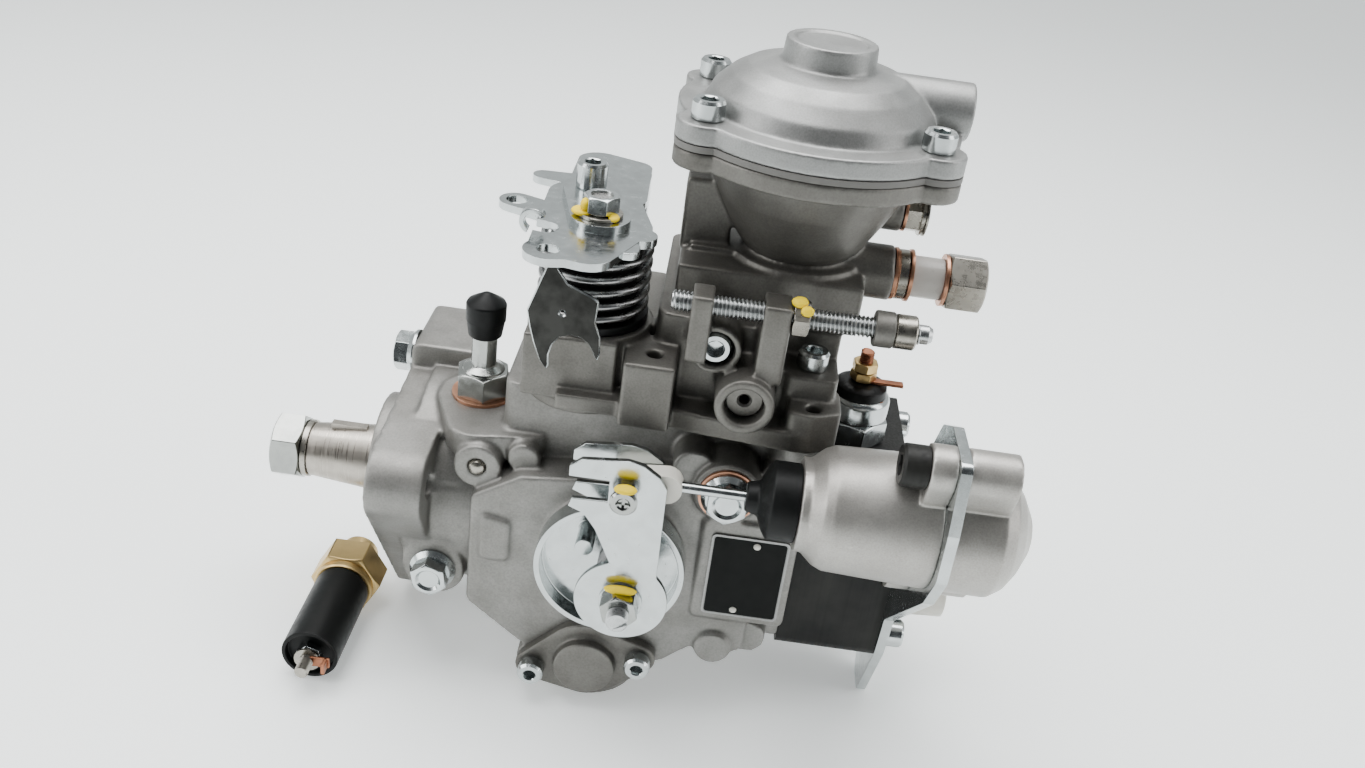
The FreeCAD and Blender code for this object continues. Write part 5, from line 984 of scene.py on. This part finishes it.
# %% Bent tongues
SHEET_EDGE = 0.3


def sector(name, points, start, sweep, sides=10):
    """An outline swept through part of a turn, its ends closed."""
    piece = outline_of(name, points)
    piece.data.transform(Matrix.Rotation(math.radians(start), 4, "Z"))
    edit()
    bpy.ops.mesh.spin(steps=sides, angle=math.radians(sweep), center=(0, 0, 0), axis=(0, 0, 1))
    close()
    return bevel(tidy_shell(piece, fill=True), SHEET_EDGE)


band = sector("band", [(20.5, 7), (22.0, 7), (22.0, 25), (20.5, 25), (20.5, 7)], -74, 25)
lay(band, "throttle_front_tongue", (THROTTLE_X, THROTTLE_Y, 87.3), UP, "throttle_lever", ZINC)
ear = round_uprights(slab("throttle_front_ear", (68.5, -44.4, 112.1), (80.6, -35, 114.4)), 2, 3.2)
stands_for(bevel(ear, SHEET_EDGE), "throttle_lever", ZINC)
curl = sector("curl", [(2.6, -1.6), (4.2, -1.6), (4.2, 1.6), (2.6, 1.6), (2.6, -1.6)], 150, 215, 24)
lay(curl, "throttle_left_curl", (47.5, -34, 116.4), TO_FAR, "throttle_lever", ZINC)
clear(band, curl)
print("two bent tongues and an ear")

# %% [markdown]
# The fork plate hangs from the throttle lever's front edge, stamped from thin sheet with two
# prongs round an arc. Its faces are dark and polished, and its edges and their bevel get bright
# zinc as a painted highlight. The right prong ends above the cover's thread block, so it passes
# clear of it.

# %% Fork plate
FORK_Y, FORK_THICK = -54, 1.5
FORK_OUTLINE = [
    (55.4, 111.9), (58.2, 111.9), (61.5, 107.0), (68.5, 104.0), (71.3, 102.4), (70.8, 95.6), (72.6, 91.0),
    (73.0, 85.4), (72.4, 82.9), (71.5, 83.8), (70.6, 85.9), (69.2, 88.2), (66.8, 89.9), (63.7, 90.3),
    (60.6, 89.2), (58.6, 86.4), (57.7, 82.8), (57.9, 79.2), (57.2, 77.7), (55.0, 80.6), (52.9, 86.2),
    (51.4, 91.4), (50.3, 96.8)]
mesh = bpy.data.meshes.new("fork")
mesh.from_pydata([(x * MM, FORK_Y * MM, z * MM) for x, z in FORK_OUTLINE], [],
                 [tuple(range(len(FORK_OUTLINE)))])
fork = linked("fork", mesh)
modify(fork, "SOLIDIFY", thickness=FORK_THICK * MM, offset=0)
tidy_shell(fork)
peg = lathe("peg_tool", [(0, -60), (0.8, -60), (0.8, -48), (0, -48)], 20)
cut(fork, put(peg, (60.8, 0, 97.2), -90, "X"))
bevel(fork, 0.38, 1, 50)
fork.name = fork.data.name = "throttle_fork_plate"
stands_for(fork, "throttle_fork", POLISHED)
# The bevel faces take bright zinc: a painted highlight along the plate's edges.
fork.data.materials.append(ZINC)
for face in fork.data.polygons:
    face.material_index = int(abs(face.normal.y) < 0.9)
print("fork plate with", len(FORK_OUTLINE), "corners")

# %% [markdown]
# The loose solenoid has a brass hexagon with a turned collar on each side. Its stud carries
# a zinc nut, a washer and a spade terminal of browned copper with its free end bent over.

# %% Loose solenoid
LOOSE_X, LOOSE_FACE, LOOSE_Z = -17.5, -4, -48.45
BRASS_LENGTH, BARREL_LENGTH, STUD_SUNK = 15, 37, 2.5
LOOSE_END = LOOSE_FACE - BRASS_LENGTH - BARREL_LENGTH + STUD_SUNK
SPADE_LOW, SPADE_HIGH = LOOSE_Z - 2, LOOSE_Z + 2
hexagon_body = hexagon_bar("brass_hexagon", 23, 12, edge_mm=0.35)
front = lathe("brass_collar", [(0, -9), (6.7, -9), (7.0, -8.6), (7.0, -1.4), (10.4, -1.4), (10.4, 0.1),
                               (0, 0.1)])
rear = lathe("brass_shoulder", [(0, 11.9), (10.9, 11.9), (10.9, 14.4), (10.5, 15), (0, 15)])
brass = unite("brass_body", [hexagon_body, front, rear])
lay(brass, "loose_brass_hexagon", (LOOSE_X, LOOSE_FACE, LOOSE_Z), TO_NEAR, "loose_hex", BRASS, 30)
stud = thread("terminal_thread", 2.4, 0.8, 11)
small_nut = hexagon_bar("terminal_nut", 8, 3.4, 2.3, both=True)
washer = lathe("terminal_washer", [(2.5, 0), (4.6, 0), (4.6, 0.8), (2.5, 0.8), (2.5, 0)], 40)
for pattern, name, y, material, turn in (
        (stud, "loose_stud", LOOSE_END, ZINC_DULL, 0), (small_nut, "loose_nut", LOOSE_END, ZINC, 10),
        (washer, "loose_washer", LOOSE_END - 4.2, ZINC_DULL, 0)):
    lay(pattern, name, (LOOSE_X, y, LOOSE_Z), TO_NEAR, "loose_terminal", material, turn)
tab = slab("loose_spade", (LOOSE_X + 1, LOOSE_END - 5.6, SPADE_LOW),
           (LOOSE_X + 8, LOOSE_END - 4.4, SPADE_HIGH))
turned_tab = slab("loose_spade_end", (LOOSE_X + 6, LOOSE_END - 9, SPADE_LOW),
                  (LOOSE_X + 7.3, LOOSE_END - 4.5, SPADE_HIGH))
strips = [bevel(strip, SHEET_EDGE, 3) for strip in (tab, turned_tab)]
stands_for(unite("loose_spade", strips), "loose_terminal", COPPER_DARK, 40)
print("loose solenoid")

# %% [markdown]
# The stop solenoid on the head is a turned can on a hexagon, with a black insulator on top.
# Its terminal is the loose one's the other way up: a stud with two brass nuts and a strip.

# %% Stop solenoid
STOP_X = 160
can = lathe("stop_can", [(0, 0.1), (9.2, 0.1), (9.6, 8.6), (10.7, 9.4), (11, 10.2), (11, 15.6),
                         (10.7, 16.8), (9.9, 17.7), (9.3, 18), (0, 18)])
can_hexagon = hexagon_bar("stop_hexagon", 20.6, 9.2, both=True, edge_mm=0.35)
stop = unite("stop_solenoid", [can, can_hexagon])
lay(stop, "stop_solenoid_can", (STOP_X, 0, 38), UP, "shutoff_body", ZINC, turn=14)
for pattern, name, z, material, turn in (
        (stud, "stop_stud", 60, COPPER_DARK, 0), (small_nut, "stop_nut", 60.8, BRASS, 25),
        (small_nut, "stop_upper_nut", 64.4, BRASS, 5)):
    lay(pattern, name, (STOP_X, 0, z), UP, "shutoff_terminal", material, turn)
strip = bevel(slab("stop_spade", (STOP_X, -3, 60.5), (STOP_X + 14, 0, 61.7)), SHEET_EDGE, 3)
stands_for(strip, "shutoff_terminal", COPPER_DARK, 40)
clear(brass, stud, small_nut, washer, stop)
print("stop solenoid")

# %% [markdown]
# The fitter marks each nut that has been set with a dab of yellow paint. A dab is a small
# ball, squashed, shaken a little out of shape and smoothed, so that it lies over an edge.

# %% Yellow marks
def dab(name, place_mm, size_mm, node, seed):
    """One dab with its half sizes and a seed of its own for the shaking."""
    bpy.ops.mesh.primitive_ico_sphere_add(subdivisions=3, radius=1,
                                          location=[value * MM for value in place_mm],
                                          scale=[value * MM for value in size_mm])
    blob = settle(name)
    edit()
    bpy.ops.transform.vertex_random(offset=0.22 * MM, uniform=0.3, seed=seed)
    close()
    modify(blob, "SMOOTH", factor=0.5, iterations=2)
    dress(blob, YELLOW, node)


DABS = [
    ("yellow_throttle", (61.2, -25.4, 118.2), (3.8, 3.6, 1.3), "throttle_lever"),
    ("yellow_throttle_flank", (62.0, -26.0, 120.6), (1.8, 2.4, 2.2), "throttle_lever"),
    ("yellow_throttle_right", (71.0, -27.6, 118.0), (1.8, 2.6, 1.1), "throttle_lever"),
    ("yellow_locknut", (129.6, -47.2, 107.9), (2.6, 2.4, 1.6), "speed_screw"),
    ("yellow_locknut_flank", (132.0, -49.6, 106.4), (2.0, 1.4, 1.7), "speed_screw"),
    ("yellow_cold_nut", (88.2, -71.4, 11.8), (5.4, 1.7, 1.5), "cold_lever"),
    ("yellow_pin", (86.2, -73.2, 51.2), (3.6, 2.3, 1.3), "cold_lever")]
for seed, (name, place, size, node) in enumerate(DABS, 1):
    dab(name, place, size, node, seed)
print(len(DABS), "dabs of yellow paint")

# %% [markdown]
# The floor's paper has next to no texture: a very pale tone with a hint of grey. It glows a
# little, as paper seems to that is lit from all round.

# %% Paper
PAPER = finish("pale_paper", (0.90, 0.93, 0.925), 0.0, 0.7)
glow = shader_of(PAPER)
glow.inputs["Emission Color"].default_value = (0.92, 0.95, 0.945, 1)
glow.inputs["Emission Strength"].default_value = 0.45
bump(PAPER, noise(PAPER, 1.5, 2), 0.02, 0.2)
floor.data.materials.append(PAPER)
